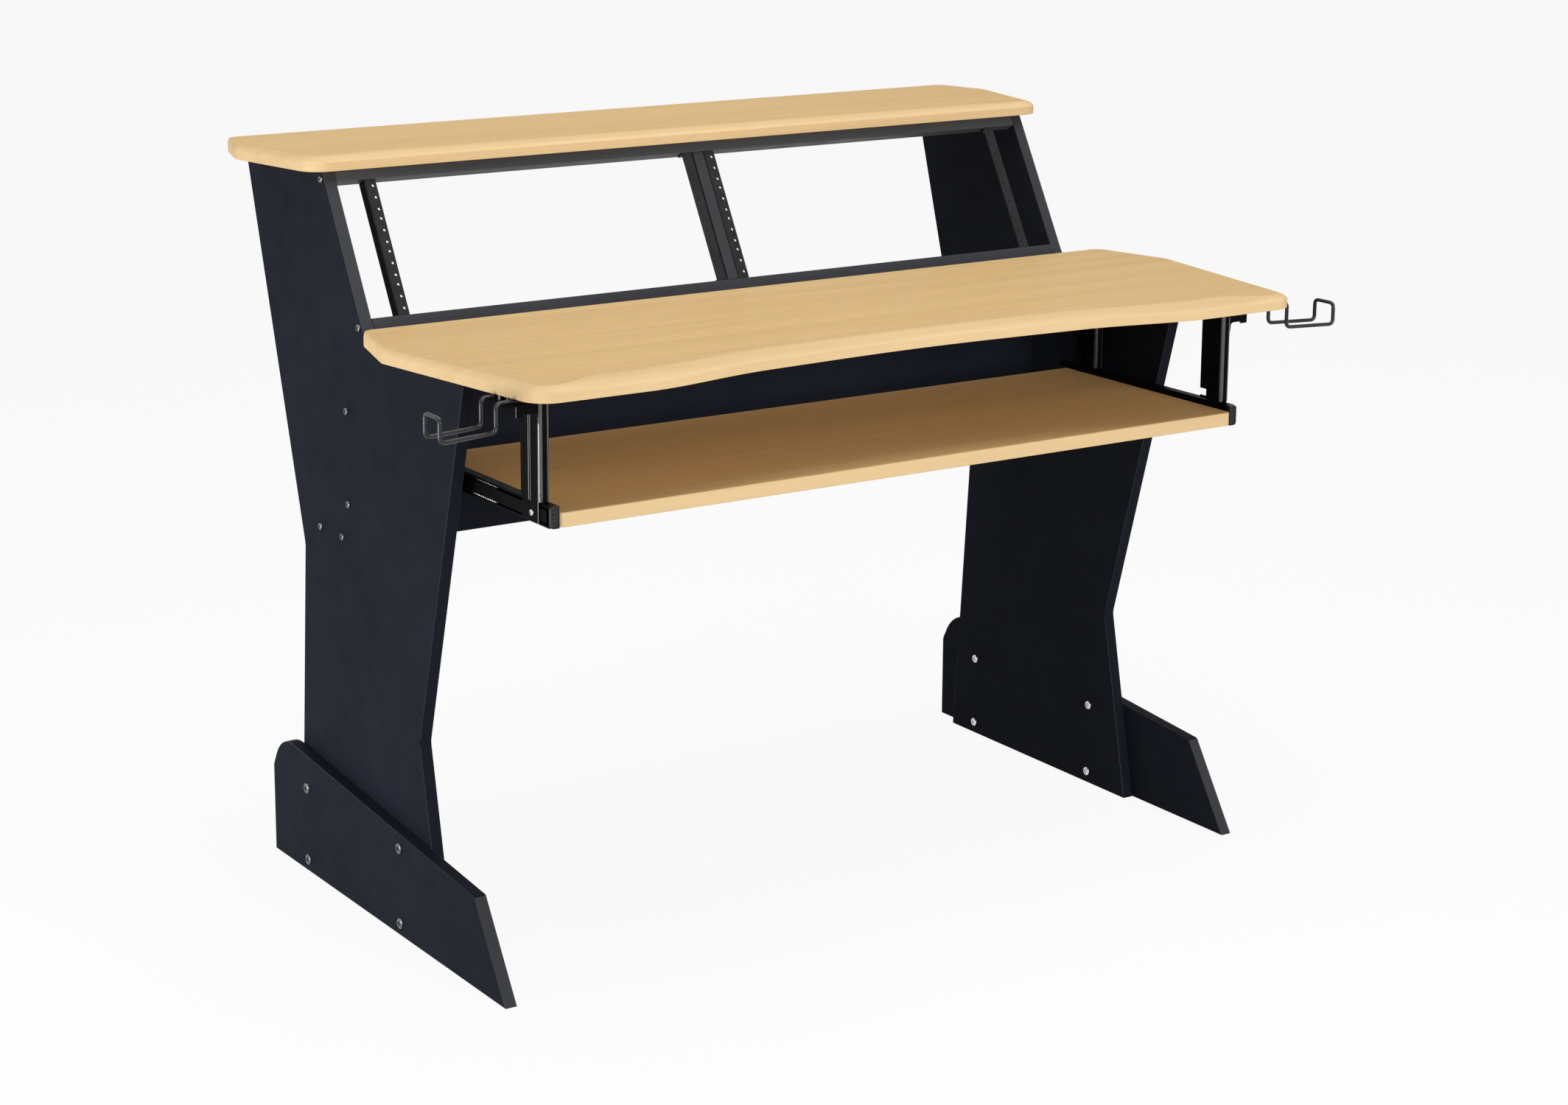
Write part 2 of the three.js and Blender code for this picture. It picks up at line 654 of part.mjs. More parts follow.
/** Bar across the rack front; the rack's own frame has Y into the rack and -Z down it. */
function rackBar(middle) {
  const board = box(-boardHalf, boardHalf, 0, BAR_DEPTH, -middle - BAR_W / 2, -middle + BAR_W / 2);
  return carve([board], endBores([[BAR_DEPTH / 2, -middle]]));
}

/** Post between the two bays. */
function rackDivider() {
  return box(-DIVIDER_W / 2, DIVIDER_W / 2, 0, DIVIDER_DEPTH,
    -lowBarStart + SEAT_GAP, -topBarEnd - SEAT_GAP);
}

/** Rack rail, flush with the bars, its folded flange on the side given by outward, +1 or -1. */
function rackRail(column, outward) {
  const top = -topBarEnd - SEAT_GAP;
  const bottom = -lowBarStart + SEAT_GAP;
  const span = (a, b) => [Math.min(a, b), Math.max(a, b)];
  const free = column - outward * RAIL_FREE_EDGE;
  const corner = column + outward * RAIL_CORNER;
  const fold = span(corner - outward * RAIL_T, corner);
  const width = span(free, corner);
  const pieces = [
    box(...width, 0, RAIL_T, bottom, top),
    box(...fold, 0, RAIL_FLANGE, bottom, top),
    box(...width, 0, BAR_DEPTH, bottom, bottom + RAIL_T),
    box(...width, 0, BAR_DEPTH, top - RAIL_T, top),
  ];
  const slotY = (RAIL_T + RAIL_FLANGE) / 2;
  const cutters = [];
  for (let unit = 0; unit < RACK_UNIT_COUNT; unit += 1) {
    const unitMiddle = -topBarEnd - (RACK_OPENING_GAP + RACK_UNIT_H) / 2 - unit * RACK_UNIT_H;
    for (let hole = 0; hole < HOLES_PER_UNIT; hole += 1) {
      const z = unitMiddle + (hole - (HOLES_PER_UNIT - 1) / 2) * RACK_HOLE_PITCH;
      cutters.push(pin([column, -OVERRUN, z], [column, RAIL_T + OVERRUN, z],
        RACK_HOLE_D, SMALL_ROUND_SIDES));
      cutters.push(box(fold[0] - OVERRUN, fold[1] + OVERRUN, slotY - SLOT_W / 2, slotY + SLOT_W / 2,
        z - SLOT_L / 2, z + SLOT_L / 2));
    }
  }
  return carve(pieces, cutters);
}

/** C profile of the channel on the tray, open outwards. */
function slideChannel() {
  const half = SLIDE_HEIGHT / 2;
  const lipIn = slideInner + CHANNEL_W - CHANNEL_LIP_T;
  const out = slideInner + CHANNEL_W;
  const web = slideInner + CHANNEL_T;
  const upper = [
    [web, half - CHANNEL_T],
    [lipIn, half - CHANNEL_T],
    [lipIn, half - CHANNEL_T - CHANNEL_LIP],
    [out, half - CHANNEL_T - CHANNEL_LIP],
    [out, half],
    [slideInner, half],
  ];
  return extrudeAlongY(symmetric(upper), slideFrontY, slideFrontY + SLIDE_LENGTH);
}

/** Closed profile from its upper half, mirrored about the slide's middle height. */
function symmetric(upper) {
  const lower = upper.map(([x, z]) => [x, -z]).reverse();
  return [...upper, ...lower].map(([x, z]) => new THREE.Vector2(x, slideZ + z));
}

/** U profile of the ball cage between channel and runner. */
function slideCage() {
  const half = SLIDE_HEIGHT / 2 - CHANNEL_T - RACE_GAP;
  const back = slideInner + CHANNEL_T + CAGE_BACK_GAP;
  const upper = [
    [back + CAGE_T, half - CAGE_RAIL],
    [back + CAGE_W, half - CAGE_RAIL],
    [back + CAGE_W, half],
    [back, half],
  ];
  const front = trayFrontY + CAGE_SETBACK;
  return extrudeAlongY(symmetric(upper), front, front + CAGE_LENGTH);
}

/** Runner screwed to the hangers, open towards the tray. */
function slideRunner() {
  const half = SLIDE_HEIGHT / 2 - CHANNEL_T - 2 * RACE_GAP - CAGE_RAIL;
  const upper = [
    [slideOuter - RUNNER_T, half - RUNNER_T],
    [slideOuter - RUNNER_W, half - RUNNER_T],
    [slideOuter - RUNNER_W, half],
    [slideOuter, half],
  ];
  const profile = extrudeAlongY(symmetric(upper), slideFrontY + RUNNER_SETBACK, slideFrontY + SLIDE_LENGTH);
  const holes = Object.values(hangers).map(({ shift }) => pin(
    [slideOuter - RUNNER_T - OVERRUN, tabScrewY + shift, slideZ],
    [slideOuter + OVERRUN, tabScrewY + shift, slideZ],
    clearance(SMALL_SHANK_D), SMALL_ROUND_SIDES));
  return carve([profile], holes);
}

/** Plastic cap over the channel's front end. */
function slideCap() {
  const half = SLIDE_HEIGHT / 2;
  const outline = rounded([
    [slideInner, slideZ - half],
    [slideInner + CHANNEL_W, slideZ - half, CAP_R],
    [slideInner + CHANNEL_W, slideZ + half, CAP_R],
    [slideInner, slideZ + half],
  ]);
  return extrudeAlongY(outline, slideFrontY - SEAT_GAP - CAP_T, slideFrontY - SEAT_GAP);
}

/** Place across a hanger, counted from its far wall towards the end of its top flange. */
function flangeX(outward, distance) {
  return outward > 0 ? hangerInner + distance : hangerOuter - distance;
}

/** Middle of the flange's free part, where its screws sit. */
function flangeScrewX(outward) {
  return flangeX(outward, (HANGER_W + FLANGE_REACH) / 2);
}

/** Hanger of the right side at the front place: channel, top flange, land and slide tab. */
function hanger(outward) {
  const inside = HANGER_CORNER_R - HANGER_T;
  const channel = rounded([
    [hangerOuter, hangerRearY],
    [hangerOuter, hangerFrontY, HANGER_CORNER_R],
    [hangerInner, hangerFrontY, HANGER_CORNER_R],
    [hangerInner, hangerRearY],
    [hangerInner + HANGER_T, hangerRearY],
    [hangerInner + HANGER_T, hangerFrontY + HANGER_T, inside],
    [hangerOuter - HANGER_T, hangerFrontY + HANGER_T, inside],
    [hangerOuter - HANGER_T, hangerRearY],
  ], TIGHT_ARC_STEPS);
  const ribLow = hangerTop - FLANGE_RIB;
  const rib = rounded([
    [HANGER_W - HANGER_T, hangerTop],
    [FLANGE_REACH, hangerTop],
    [FLANGE_REACH, hangerTop - FLANGE_END],
    [FLANGE_REACH - FLANGE_END_W, hangerTop - FLANGE_END],
    [FLANGE_REACH - FLANGE_END_W, ribLow],
    [HANGER_W, ribLow, FLANGE_FILLET],
    [HANGER_W, ribLow - 2 * FLANGE_FILLET],
    [HANGER_W - HANGER_T, ribLow - 2 * FLANGE_FILLET],
  ]).map(({ x, y }) => new THREE.Vector2(flangeX(outward, x), y));
  const flangeSpan = [HANGER_W - HANGER_T, FLANGE_REACH].map((x) => flangeX(outward, x));
  const tabBottom = slideZ - SLIDE_HEIGHT / 2 + TAB_RISE;
  const pieces = [
    extrudeAlongZ(channel, hangerBottom, hangerTop),
    extrudeAlongY(rib, hangerFrontY + inside, hangerFrontY + inside + HANGER_T),
    box(Math.min(...flangeSpan), Math.max(...flangeSpan), hangerFrontY + inside, hangerRearY,
      hangerTop - FLANGE_T, hangerTop),
    box(hangerOuter - HANGER_T, hangerOuter + LAND_T, hangerRearY - LAND_D, hangerRearY,
      hangerBottom, hangerTop - LAND_TOP),
    box(hangerOuter - HANGER_T, hangerOuter, hangerFrontY + HANGER_CORNER_R, hangerRearY,
      tabBottom, hangerBottom + HANGER_T),
  ];
  const notchBottom = hangerBottom + NOTCH_RISE;
  const cutters = [
    box(hangerInner - OVERRUN, hangerInner + HANGER_T + OVERRUN, hangerRearY - NOTCH_D,
      hangerRearY + OVERRUN, notchBottom, notchBottom + NOTCH_H),
    pin([hangerOuter - HANGER_T - OVERRUN, tabScrewY, slideZ], [hangerOuter + OVERRUN, tabScrewY, slideZ],
      clearance(SMALL_SHANK_D), SMALL_ROUND_SIDES),
    ...flangeScrewYs.map((y) => pin(
      [flangeScrewX(outward), y, hangerTop - FLANGE_T - OVERRUN],
      [flangeScrewX(outward), y, hangerTop + OVERRUN],
      clearance(SMALL_SHANK_D), SMALL_ROUND_SIDES)),
  ];
  return carve(pieces, cutters);
}

/** Worktop with blind bores in its underside for the hangers' screws. */
function worktop() {
  const board = softBoard(worktopOutline(), worktopUnder, WORKTOP_T, NOSE_DROP);
  const bores = [];
  for (const { shift, outward } of Object.values(hangers)) {
    for (const y of flangeScrewYs) {
      for (const side of [-1, 1]) {
        const x = side * flangeScrewX(outward);
        bores.push(pin([x, y + shift, worktopUnder - OVERRUN],
          [x, y + shift, worktopUnder + SMALL_GRIP + SEAT_GAP],
          clearance(SMALL_SHANK_D), SMALL_ROUND_SIDES));
      }
    }
  }
  return carve([board], bores);
}

/** Path through corner points, with each inner corner bent round. */
function bentPath(corners, radius) {
  const path = new THREE.CurvePath();
  let start = corners[0];
  for (let at = 1; at < corners.length - 1; at += 1) {
    const corner = corners[at];
    const toBefore = corners[at - 1].clone().sub(corner).normalize();
    const toAfter = corners[at + 1].clone().sub(corner).normalize();
    const bendStart = corner.clone().addScaledVector(toBefore, radius);
    const bendEnd = corner.clone().addScaledVector(toAfter, radius);
    path.add(new THREE.LineCurve3(start, bendStart));
    path.add(new THREE.QuadraticBezierCurve3(bendStart, corner, bendEnd));
    start = bendEnd;
  }
  path.add(new THREE.LineCurve3(start, corners[corners.length - 1]));
  return path;
}

/** Hook wire: under the worktop, down, out, up, across and the same way back. */
function hookWire() {
  const armZ = wireZ - HOOK_DROP;
  const tipX = hookLegX + HOOK_ARM;
  const strand = (y) => [
    new THREE.Vector3(hookLegX - HOOK_TAIL, y, wireZ),
    new THREE.Vector3(hookLegX, y, wireZ),
    new THREE.Vector3(hookLegX, y, armZ),
    new THREE.Vector3(tipX, y - HOOK_ARM_FORWARD, armZ - HOOK_ARM_FALL),
    new THREE.Vector3(tipX, y - HOOK_ARM_FORWARD, armZ - HOOK_ARM_FALL + HOOK_TIP_RISE),
  ];
  const corners = [...strand(hookY - HOOK_SPREAD / 2), ...strand(hookY + HOOK_SPREAD / 2).reverse()];
  return new THREE.ExtrudeGeometry(new THREE.Shape(circle(0, 0, WIRE_D, WIRE_SIDES)), {
    steps: WIRE_STEPS,
    extrudePath: bentPath(corners, WIRE_BEND_R),
  });
}

/** Plate that clamps the two ends of a hook wire against the worktop. */
function hookPlate() {
  const top = wireZ - WIRE_D / 2 - SEAT_GAP;
  const outer = hookLegX - HOOK_PLATE_SETBACK;
  const reach = HOOK_SPREAD / 2 + HOOK_PLATE_MARGIN;
  return box(outer - HOOK_PLATE_W, outer, hookY - reach, hookY + reach, top - HOOK_PLATE_T, top);
}

/** Places a row of screws whose heads lie on the side panels' outer faces. */
function placePanelScrews(group, name, places) {
  const length = 2 * SEAT_GAP + PANEL_T + SCREW_GRIP;
  places.forEach(([y, z], index) => {
    const screw = fastener(SCREW_SHANK_D, SCREW_HEAD_D, SCREW_HEAD_H, length);
    aim(screw, new THREE.Vector3(1, 0, 0), [outerHalf + SEAT_GAP, y, z]);
    placePair(group, `${name}_${index + 1}`, screw, 'zinc');
  });
}

/** Places the bolts that join the feet to the side panels. */
function placeFootBolts(group) {
  const length = footHalf - innerHalf + 2 * SEAT_GAP;
  footBolts.forEach(([y, z], index) => {
    const bolt = fastener(BOLT_SHANK_D, BOLT_HEAD_D, BOLT_HEAD_H, length, BOLT_NUT_D, BOLT_NUT_H);
    aim(bolt, new THREE.Vector3(1, 0, 0), [footHalf + SEAT_GAP, y, z]);
    placePair(group, `foot_bolt_${index + 1}`, bolt, 'zinc');
  });
}

/** Places the hangers with the screws to the runner and up into the worktop. */
function placeHangers(group) {
  for (const [name, { shift, outward }] of Object.entries(hangers)) {
    const bracket = hanger(outward);
    bracket.translate(0, shift, 0);
    placePair(group, `hanger_${name}`, bracket, 'steel');
    const tabLength = 2 * SEAT_GAP + HANGER_T + RUNNER_T;
    const tabScrew = fastener(SMALL_SHANK_D, SMALL_HEAD_D, SMALL_HEAD_H, tabLength);
    aim(tabScrew, new THREE.Vector3(1, 0, 0), [hangerOuter + SEAT_GAP, tabScrewY + shift, slideZ]);
    placePair(group, `slide_screw_${name}`, tabScrew, 'zinc');
    const flangeLength = 2 * SEAT_GAP + FLANGE_T + SMALL_GRIP;
    const flangeScrew = fastener(SMALL_SHANK_D, SMALL_HEAD_D, SMALL_HEAD_H, flangeLength);
    aim(flangeScrew, new THREE.Vector3(0, 0, -1),
      [flangeScrewX(outward), flangeScrewYs[0] + shift, hangerTop - FLANGE_T - SEAT_GAP]);
    placePair(group, `hanger_screw_${name}`, flangeScrew, 'zinc');
  }
}

/** Frame of the desk: side panels, feet, back boards and the two tops. */
function buildFrame() {
  const group = new THREE.Group();
  place(group, 'worktop', worktop(), 'maple');
  place(group, 'shelf_top', softBoard(shelfOutline(), shelfUnder, SHELF_T, NOSE_DROP), 'maple');
  placePair(group, 'side_panel', sidePanel(), 'board');
  placePair(group, 'foot', footBoard(), 'board');
  place(group, 'modesty_panel', modestyPanel(), 'board');
  place(group, 'cable_board', cableBoard(), 'board');
  placeFootBolts(group);
  placePanelScrews(group, 'modesty_screw', modestyScrews);
  placePanelScrews(group, 'cable_board_screw', cableScrews);
  return group;
}

/** Rack front in its own slanted frame, hung from the side panels' top front corner. */
function buildRack() {
  const group = new THREE.Group();
  group.position.set(0, rackTopY, rackTopZ);
  group.rotation.x = -RACK_SLANT;
  for (const [name, middle] of Object.entries(barMiddles)) {
    place(group, `rack_bar_${name}`, rackBar(middle), 'board');
    placePanelScrews(group, `rack_bar_${name}_screw`, [[BAR_DEPTH / 2, -middle]]);
  }
  place(group, 'rack_divider', rackDivider(), 'board');
  placePair(group, 'rack_rail_outer', rackRail(outerColumn, 1), 'steel');
  placePair(group, 'rack_rail_inner', rackRail(innerColumn, -1), 'steel');
  return group;
}

/** Keyboard tray with its slides and hangers. */
function buildTray() {
  const group = new THREE.Group();
  place(group, 'keyboard_tray', softBoard(trayOutline(), trayTop - TRAY_T, TRAY_T, TRAY_NOSE), 'maple');
  placePair(group, 'slide_channel', slideChannel(), 'slide');
  placePair(group, 'slide_cage', slideCage(), 'cage');
  placePair(group, 'slide_runner', slideRunner(), 'slide');
  placePair(group, 'slide_cap', slideCap(), 'plastic');
  placeHangers(group);
  return group;
}

/** Headphone hooks under the worktop's front corners. */
function buildHooks() {
  const group = new THREE.Group();
  placePair(group, 'hook_wire', hookWire(), 'wire');
  placePair(group, 'hook_plate', hookPlate(), 'steel');
  return group;
}

const assembly = new THREE.Group();
assembly.position.y = -(WORKTOP_FRONT_Y + SHELF_REAR_Y) / 2;
assembly.add(buildFrame(), buildRack(), buildTray(), buildHooks());

const desk = new THREE.Group();
desk.add(assembly);

export default desk;
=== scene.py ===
"""Looks of the studio desk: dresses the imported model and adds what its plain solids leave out."""

import logging
import math
from collections.abc import Callable, Iterable, Sequence
from dataclasses import dataclass, field
from enum import Enum

import bmesh
import bpy
from mathutils import Matrix, Vector

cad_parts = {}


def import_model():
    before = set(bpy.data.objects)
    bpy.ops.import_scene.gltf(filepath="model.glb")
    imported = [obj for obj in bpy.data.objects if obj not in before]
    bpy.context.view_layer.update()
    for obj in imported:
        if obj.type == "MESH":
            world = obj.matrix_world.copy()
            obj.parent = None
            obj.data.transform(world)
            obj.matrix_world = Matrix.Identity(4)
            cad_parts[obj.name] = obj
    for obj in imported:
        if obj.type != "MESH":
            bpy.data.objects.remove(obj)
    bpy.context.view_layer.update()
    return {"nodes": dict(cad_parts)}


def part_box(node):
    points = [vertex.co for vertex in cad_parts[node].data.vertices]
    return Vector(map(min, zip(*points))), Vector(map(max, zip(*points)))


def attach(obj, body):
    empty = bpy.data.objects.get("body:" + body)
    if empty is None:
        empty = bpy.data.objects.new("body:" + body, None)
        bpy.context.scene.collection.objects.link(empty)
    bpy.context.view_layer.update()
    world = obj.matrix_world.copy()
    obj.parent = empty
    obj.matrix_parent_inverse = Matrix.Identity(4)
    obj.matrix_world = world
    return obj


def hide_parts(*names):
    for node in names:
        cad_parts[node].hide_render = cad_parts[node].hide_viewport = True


MM = 0.001
FRAME_BODY = "frame"
TRAY_BODY = "tray"
WELD = 0.01 * MM
FLAT_ANGLE = math.radians(0.8)
SHARP_ANGLE = math.radians(28)
SMOOTH_ANGLE = math.radians(40)
TOP_SMOOTH_ANGLE = math.radians(50)
HOLE_POINTS = 16
CIRCLE_POINTS = 24
WHITE = (1.0, 1.0, 1.0, 1.0)

# A face whose normal has more than this share along an axis is turned to it, or square to it.
TURNED_TO = 0.5
SQUARE_TO = 0.97

# Sockets of a mix node that count when it mixes colours.
MIX_INPUTS = (0, 6, 7)
MIX_OUTPUT = 2

Triple = tuple[float, float, float]
Colour = Triple
Spot = tuple[float, float]
Outline = list[Vector]

log = logging.getLogger("desk")


class Side(Enum):
    """Left or right half of the desk, as the sign of X."""

    LEFT = -1
    RIGHT = 1

    @property
    def label(self) -> str:
        """Word that ends the names of this side's nodes."""
        return self.name.lower()


class Recess(Enum):
    """Shape of the driver's recess in a fastener's head."""

    HEX = "hex"
    CROSS = "cross"


class Slot(Enum):
    """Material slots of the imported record."""

    MAPLE = "maple_top"
    BOARD = "black_board"
    STEEL = "black_steel"
    SLIDE = "slide_steel"
    CAGE = "ball_cage"
    PLASTIC = "black_plastic"
    WIRE = "hook_wire"
    ZINC = "zinc_fastener"


class NodeSheet:
    """Material with a Principled shader and short calls for the nodes that feed it."""

    def __init__(self, name: str, metallic: float = 0.0, specular: float = 0.5, coat: float = 0.0) -> None:
        """Makes the material and sets what is the same all over it.

        Args:
            name: name of the material.
            metallic: metallic value of the shader.
            specular: specular level of the shader.
            coat: weight of the clear coat.
        """
        self.material = bpy.data.materials.new(name)
        self.material.use_nodes = True
        self.tree = self.material.node_tree
        self.shader = self.tree.nodes["Principled BSDF"]
        self.shader.inputs["Metallic"].default_value = metallic
        self.shader.inputs["Specular IOR Level"].default_value = specular
        self.shader.inputs["Coat Weight"].default_value = coat
        self.place = self.tree.nodes.new("ShaderNodeTexCoord").outputs["Object"]

    def wire(self, source: bpy.types.NodeSocket, target: bpy.types.NodeSocket) -> None:
        """Links an output to an input."""
        self.tree.links.new(source, target)

    def noise(
        self, density: Triple, detail: float = 3.0, roughness: float = 0.5, distortion: float = 0.0
    ) -> bpy.types.NodeSocket:
        """Adds a noise whose grains are 1/density metres long on each axis.

        Args:
            density: grains per metre along X, Y and Z.
            detail: octaves of the noise.
            roughness: weight of the finer octaves.
            distortion: how far the noise warps itself.

        Returns:
            The noise's value.
        """
        mapping = self.tree.nodes.new("ShaderNodeMapping")
        mapping.inputs["Scale"].default_value = density
        self.wire(self.place, mapping.inputs["Vector"])
        node = self.tree.nodes.new("ShaderNodeTexNoise")
        node.inputs["Scale"].default_value = 1.0
        node.inputs["Detail"].default_value = detail
        node.inputs["Roughness"].default_value = roughness
        node.inputs["Distortion"].default_value = distortion
        self.wire(mapping.outputs["Vector"], node.inputs["Vector"])
        return node.outputs["Fac"]

    def spread(
        self, source: bpy.types.NodeSocket, start: float, end: float, low: float, high: float
    ) -> bpy.types.NodeSocket:
        """Maps the stretch from start to end of a value onto low to high, and clamps it.

        Args:
            source: value that is mapped.
            start: source value that gives low.
            end: source value that gives high.
            low: result at start.
            high: result at end.

        Returns:
            The mapped value.
        """
        node = self.tree.nodes.new("ShaderNodeMapRange")
        for name, value in (("From Min", start), ("From Max", end), ("To Min", low), ("To Max", high)):
            node.inputs[name].default_value = value
        self.wire(source, node.inputs["Value"])
        return node.outputs["Result"]

    def ramp(
        self, source: bpy.types.NodeSocket, stops: Sequence[tuple[float, Colour]]
    ) -> bpy.types.NodeSocket:
        """Turns a value into a colour.

        Args:
            source: value from 0 to 1.
            stops: positions with their colours, in rising order.

        Returns:
            The colour.
        """
        node = self.tree.nodes.new("ShaderNodeValToRGB")
        stop_list = node.color_ramp.elements
        while len(stop_list) < len(stops):
            stop_list.new(1.0)
        for element, (position, colour) in zip(stop_list, stops):
            element.position = position
            element.color = (*colour, 1.0)
        self.wire(source, node.inputs["Fac"])
        return node.outputs["Color"]

    def blend(
        self, factor: bpy.types.NodeSocket, under: bpy.types.NodeSocket, over: Colour | bpy.types.NodeSocket
    ) -> bpy.types.NodeSocket:
        """Mixes a colour over another one.

        Args:
            factor: share of the upper colour.
            under: lower colour.
            over: upper colour, as a colour or a socket.

        Returns:
            The mixed colour.
        """
        node = self.tree.nodes.new("ShaderNodeMix")
        node.data_type = "RGBA"
        factor_in, under_in, over_in = (node.inputs[index] for index in MIX_INPUTS)
        self.wire(factor, factor_in)
        self.wire(under, under_in)
        if isinstance(over, tuple):
            over_in.default_value = (*over, 1.0)
        else:
            self.wire(over, over_in)
        return node.outputs[MIX_OUTPUT]

    def bump(self, height: bpy.types.NodeSocket, strength: float, depth: float) -> None:
        """Adds relief on top of the relief that is there already.

        Args:
            height: value from 0 to 1.
            strength: share of the relief that shows.
            depth: depth of the relief in metres.
        """
        node = self.tree.nodes.new("ShaderNodeBump")
        node.inputs["Strength"].default_value = strength
        node.inputs["Distance"].default_value = depth
        self.wire(height, node.inputs["Height"])
        target = self.shader.inputs["Normal"]
        if target.is_linked:
            self.wire(target.links[0].from_socket, node.inputs["Normal"])
        self.wire(node.outputs["Normal"], target)

    def done(
        self, colour: bpy.types.NodeSocket, wear: bpy.types.NodeSocket, rough_low: float, rough_high: float
    ) -> bpy.types.Material:
        """Wires up the colour, and a roughness that follows a noise.

        Args:
            colour: base colour of the shader.
            wear: noise that the roughness follows.
            rough_low: roughness where the noise is low.
            rough_high: roughness where the noise is high.

        Returns:
            The finished material.
        """
        roughness = self.spread(wear, start=0.3, end=0.7, low=rough_low, high=rough_high)
        self.wire(colour, self.shader.inputs["Base Color"])
        self.wire(roughness, self.shader.inputs["Roughness"])
        return self.material


@dataclass(frozen=True)
class MapleDecor:
    """Light maple decor, nearly matt, with its grain along X."""

    name: str
    pale: Colour
    deep: Colour
    fleck: Colour
    fleck_share: float = 0.42

    def material(self) -> bpy.types.Material:
        """Builds the node material.

        Returns:
            The material.
        """
        sheet = NodeSheet(self.name, specular=0.003)
        clouds = sheet.noise((1.6, 9.0, 9.0), detail=2.0)
        figure = sheet.noise((1.1, 34.0, 34.0), detail=4.0, distortion=0.6)
        fibres = sheet.noise((5.0, 420.0, 420.0), detail=4.0, roughness=0.62)
        flecks = sheet.noise((34.0, 520.0, 520.0), detail=2.0, roughness=0.55)
        wide = sheet.ramp(figure, ((0.32, self.deep), (0.62, self.pale)))
        cloudy = sheet.spread(clouds, start=0.35, end=0.7, low=0.0, high=0.35)
        mottled = sheet.blend(cloudy, under=wide, over=self.pale)
        fibrous = sheet.spread(fibres, start=0.5, end=0.75, low=0.0, high=0.5)
        streaked = sheet.blend(fibrous, under=mottled, over=self.deep)
        flecked = sheet.spread(flecks, start=0.6, end=0.72, low=0.0, high=self.fleck_share)
        colour = sheet.blend(flecked, under=streaked, over=self.fleck)
        sheet.bump(fibres, strength=0.25, depth=0.05 * MM)
        sheet.bump(flecks, strength=0.2, depth=0.04 * MM)
        return sheet.done(colour, fibres, rough_low=0.4, rough_high=0.5)


@dataclass(frozen=True)
class BlackBoard:
    """Black melamine with a fine pebbled grain."""

    name: str
    base: Colour
    worn: Colour
    specular: float = 0.02
    rough_low: float = 0.5
    rough_high: float = 0.64

    def material(self) -> bpy.types.Material:
        """Builds the node material.

        Returns:
            The material.
        """
        sheet = NodeSheet(self.name, specular=self.specular)
        clouds = sheet.noise((5.0, 5.0, 5.0), detail=3.0)
        pebbles = sheet.noise((1500.0, 1500.0, 1500.0), detail=2.0)
        handled = sheet.noise((26.0, 26.0, 26.0), detail=5.0, roughness=0.6)
        colour = sheet.ramp(clouds, ((0.3, self.base), (0.75, self.worn)))
        sheet.bump(pebbles, strength=0.22, depth=0.06 * MM)
        return sheet.done(colour, handled, self.rough_low, self.rough_high)


@dataclass(frozen=True)
class PowderCoat:
    """Black powder coat on folded steel, with a soft orange peel."""

    name: str
    base: Colour
    specular: float = 0.1
    rough_low: float = 0.3
    rough_high: float = 0.42
    dust_gain: float = 1.6

    def material(self) -> bpy.types.Material:
        """Builds the node material.

        Returns:
            The material.
        """
        sheet = NodeSheet(self.name, specular=self.specular)
        peel = sheet.noise((620.0, 620.0, 620.0), detail=2.0)
        dust = sheet.noise((38.0, 38.0, 38.0), detail=5.0, roughness=0.65)
        paler = tuple(part * self.dust_gain for part in self.base)
        colour = sheet.ramp(dust, ((0.35, self.base), (0.8, paler)))
        sheet.bump(peel, strength=0.18, depth=0.05 * MM)
        return sheet.done(colour, dust, self.rough_low, self.rough_high)


@dataclass(frozen=True)
class BareMetal:
    """Plated metal with a drawn or rolled grain."""

    name: str
    base: Colour
    tarnish: Colour
    grain: Triple
    rough_low: float = 0.18
    rough_high: float = 0.34

    def material(self) -> bpy.types.Material:
        """Builds the node material.

        Returns:
            The material.
        """
        sheet = NodeSheet(self.name, metallic=1.0)
        lines = sheet.noise(self.grain, detail=3.0, roughness=0.6)
        blotches = sheet.noise((120.0, 120.0, 120.0), detail=4.0)
        colour = sheet.ramp(blotches, ((0.35, self.tarnish), (0.62, self.base)))
        sheet.bump(lines, strength=0.15, depth=0.02 * MM)
        return sheet.done(colour, lines, self.rough_low, self.rough_high)


@dataclass(frozen=True)
class GlossBlack:
    """Thick glossy black lacquer on bent wire."""

    name: str
    base: Colour
    run_gain: float = 2.0

    def material(self) -> bpy.types.Material:
        """Builds the node material.

        Returns:
            The material.
        """
        sheet = NodeSheet(self.name, specular=0.3, coat=0.1)
        runs = sheet.noise((60.0, 60.0, 60.0), detail=3.0)
        paler = tuple(part * self.run_gain for part in self.base)
        colour = sheet.ramp(runs, ((0.35, self.base), (0.7, paler)))
        sheet.bump(runs, strength=0.1, depth=0.05 * MM)
        return sheet.done(colour, runs, rough_low=0.14, rough_high=0.24)


@dataclass(frozen=True)
class MouldedPlastic:
    """Moulded plastic with a fine spark-eroded grain."""

    name: str
    base: Colour
    worn: Colour

    def material(self) -> bpy.types.Material:
        """Builds the node material.

        Returns:
            The material.
        """
        sheet = NodeSheet(self.name, specular=0.25)
        grain = sheet.noise((2200.0, 2200.0, 2200.0), detail=2.0)
        rubbed = sheet.noise((160.0, 160.0, 160.0), detail=4.0)
        colour = sheet.ramp(rubbed, ((0.35, self.base), (0.75, self.worn)))
        sheet.bump(grain, strength=0.2, depth=0.04 * MM)
        return sheet.done(colour, rubbed, rough_low=0.38, rough_high=0.52)


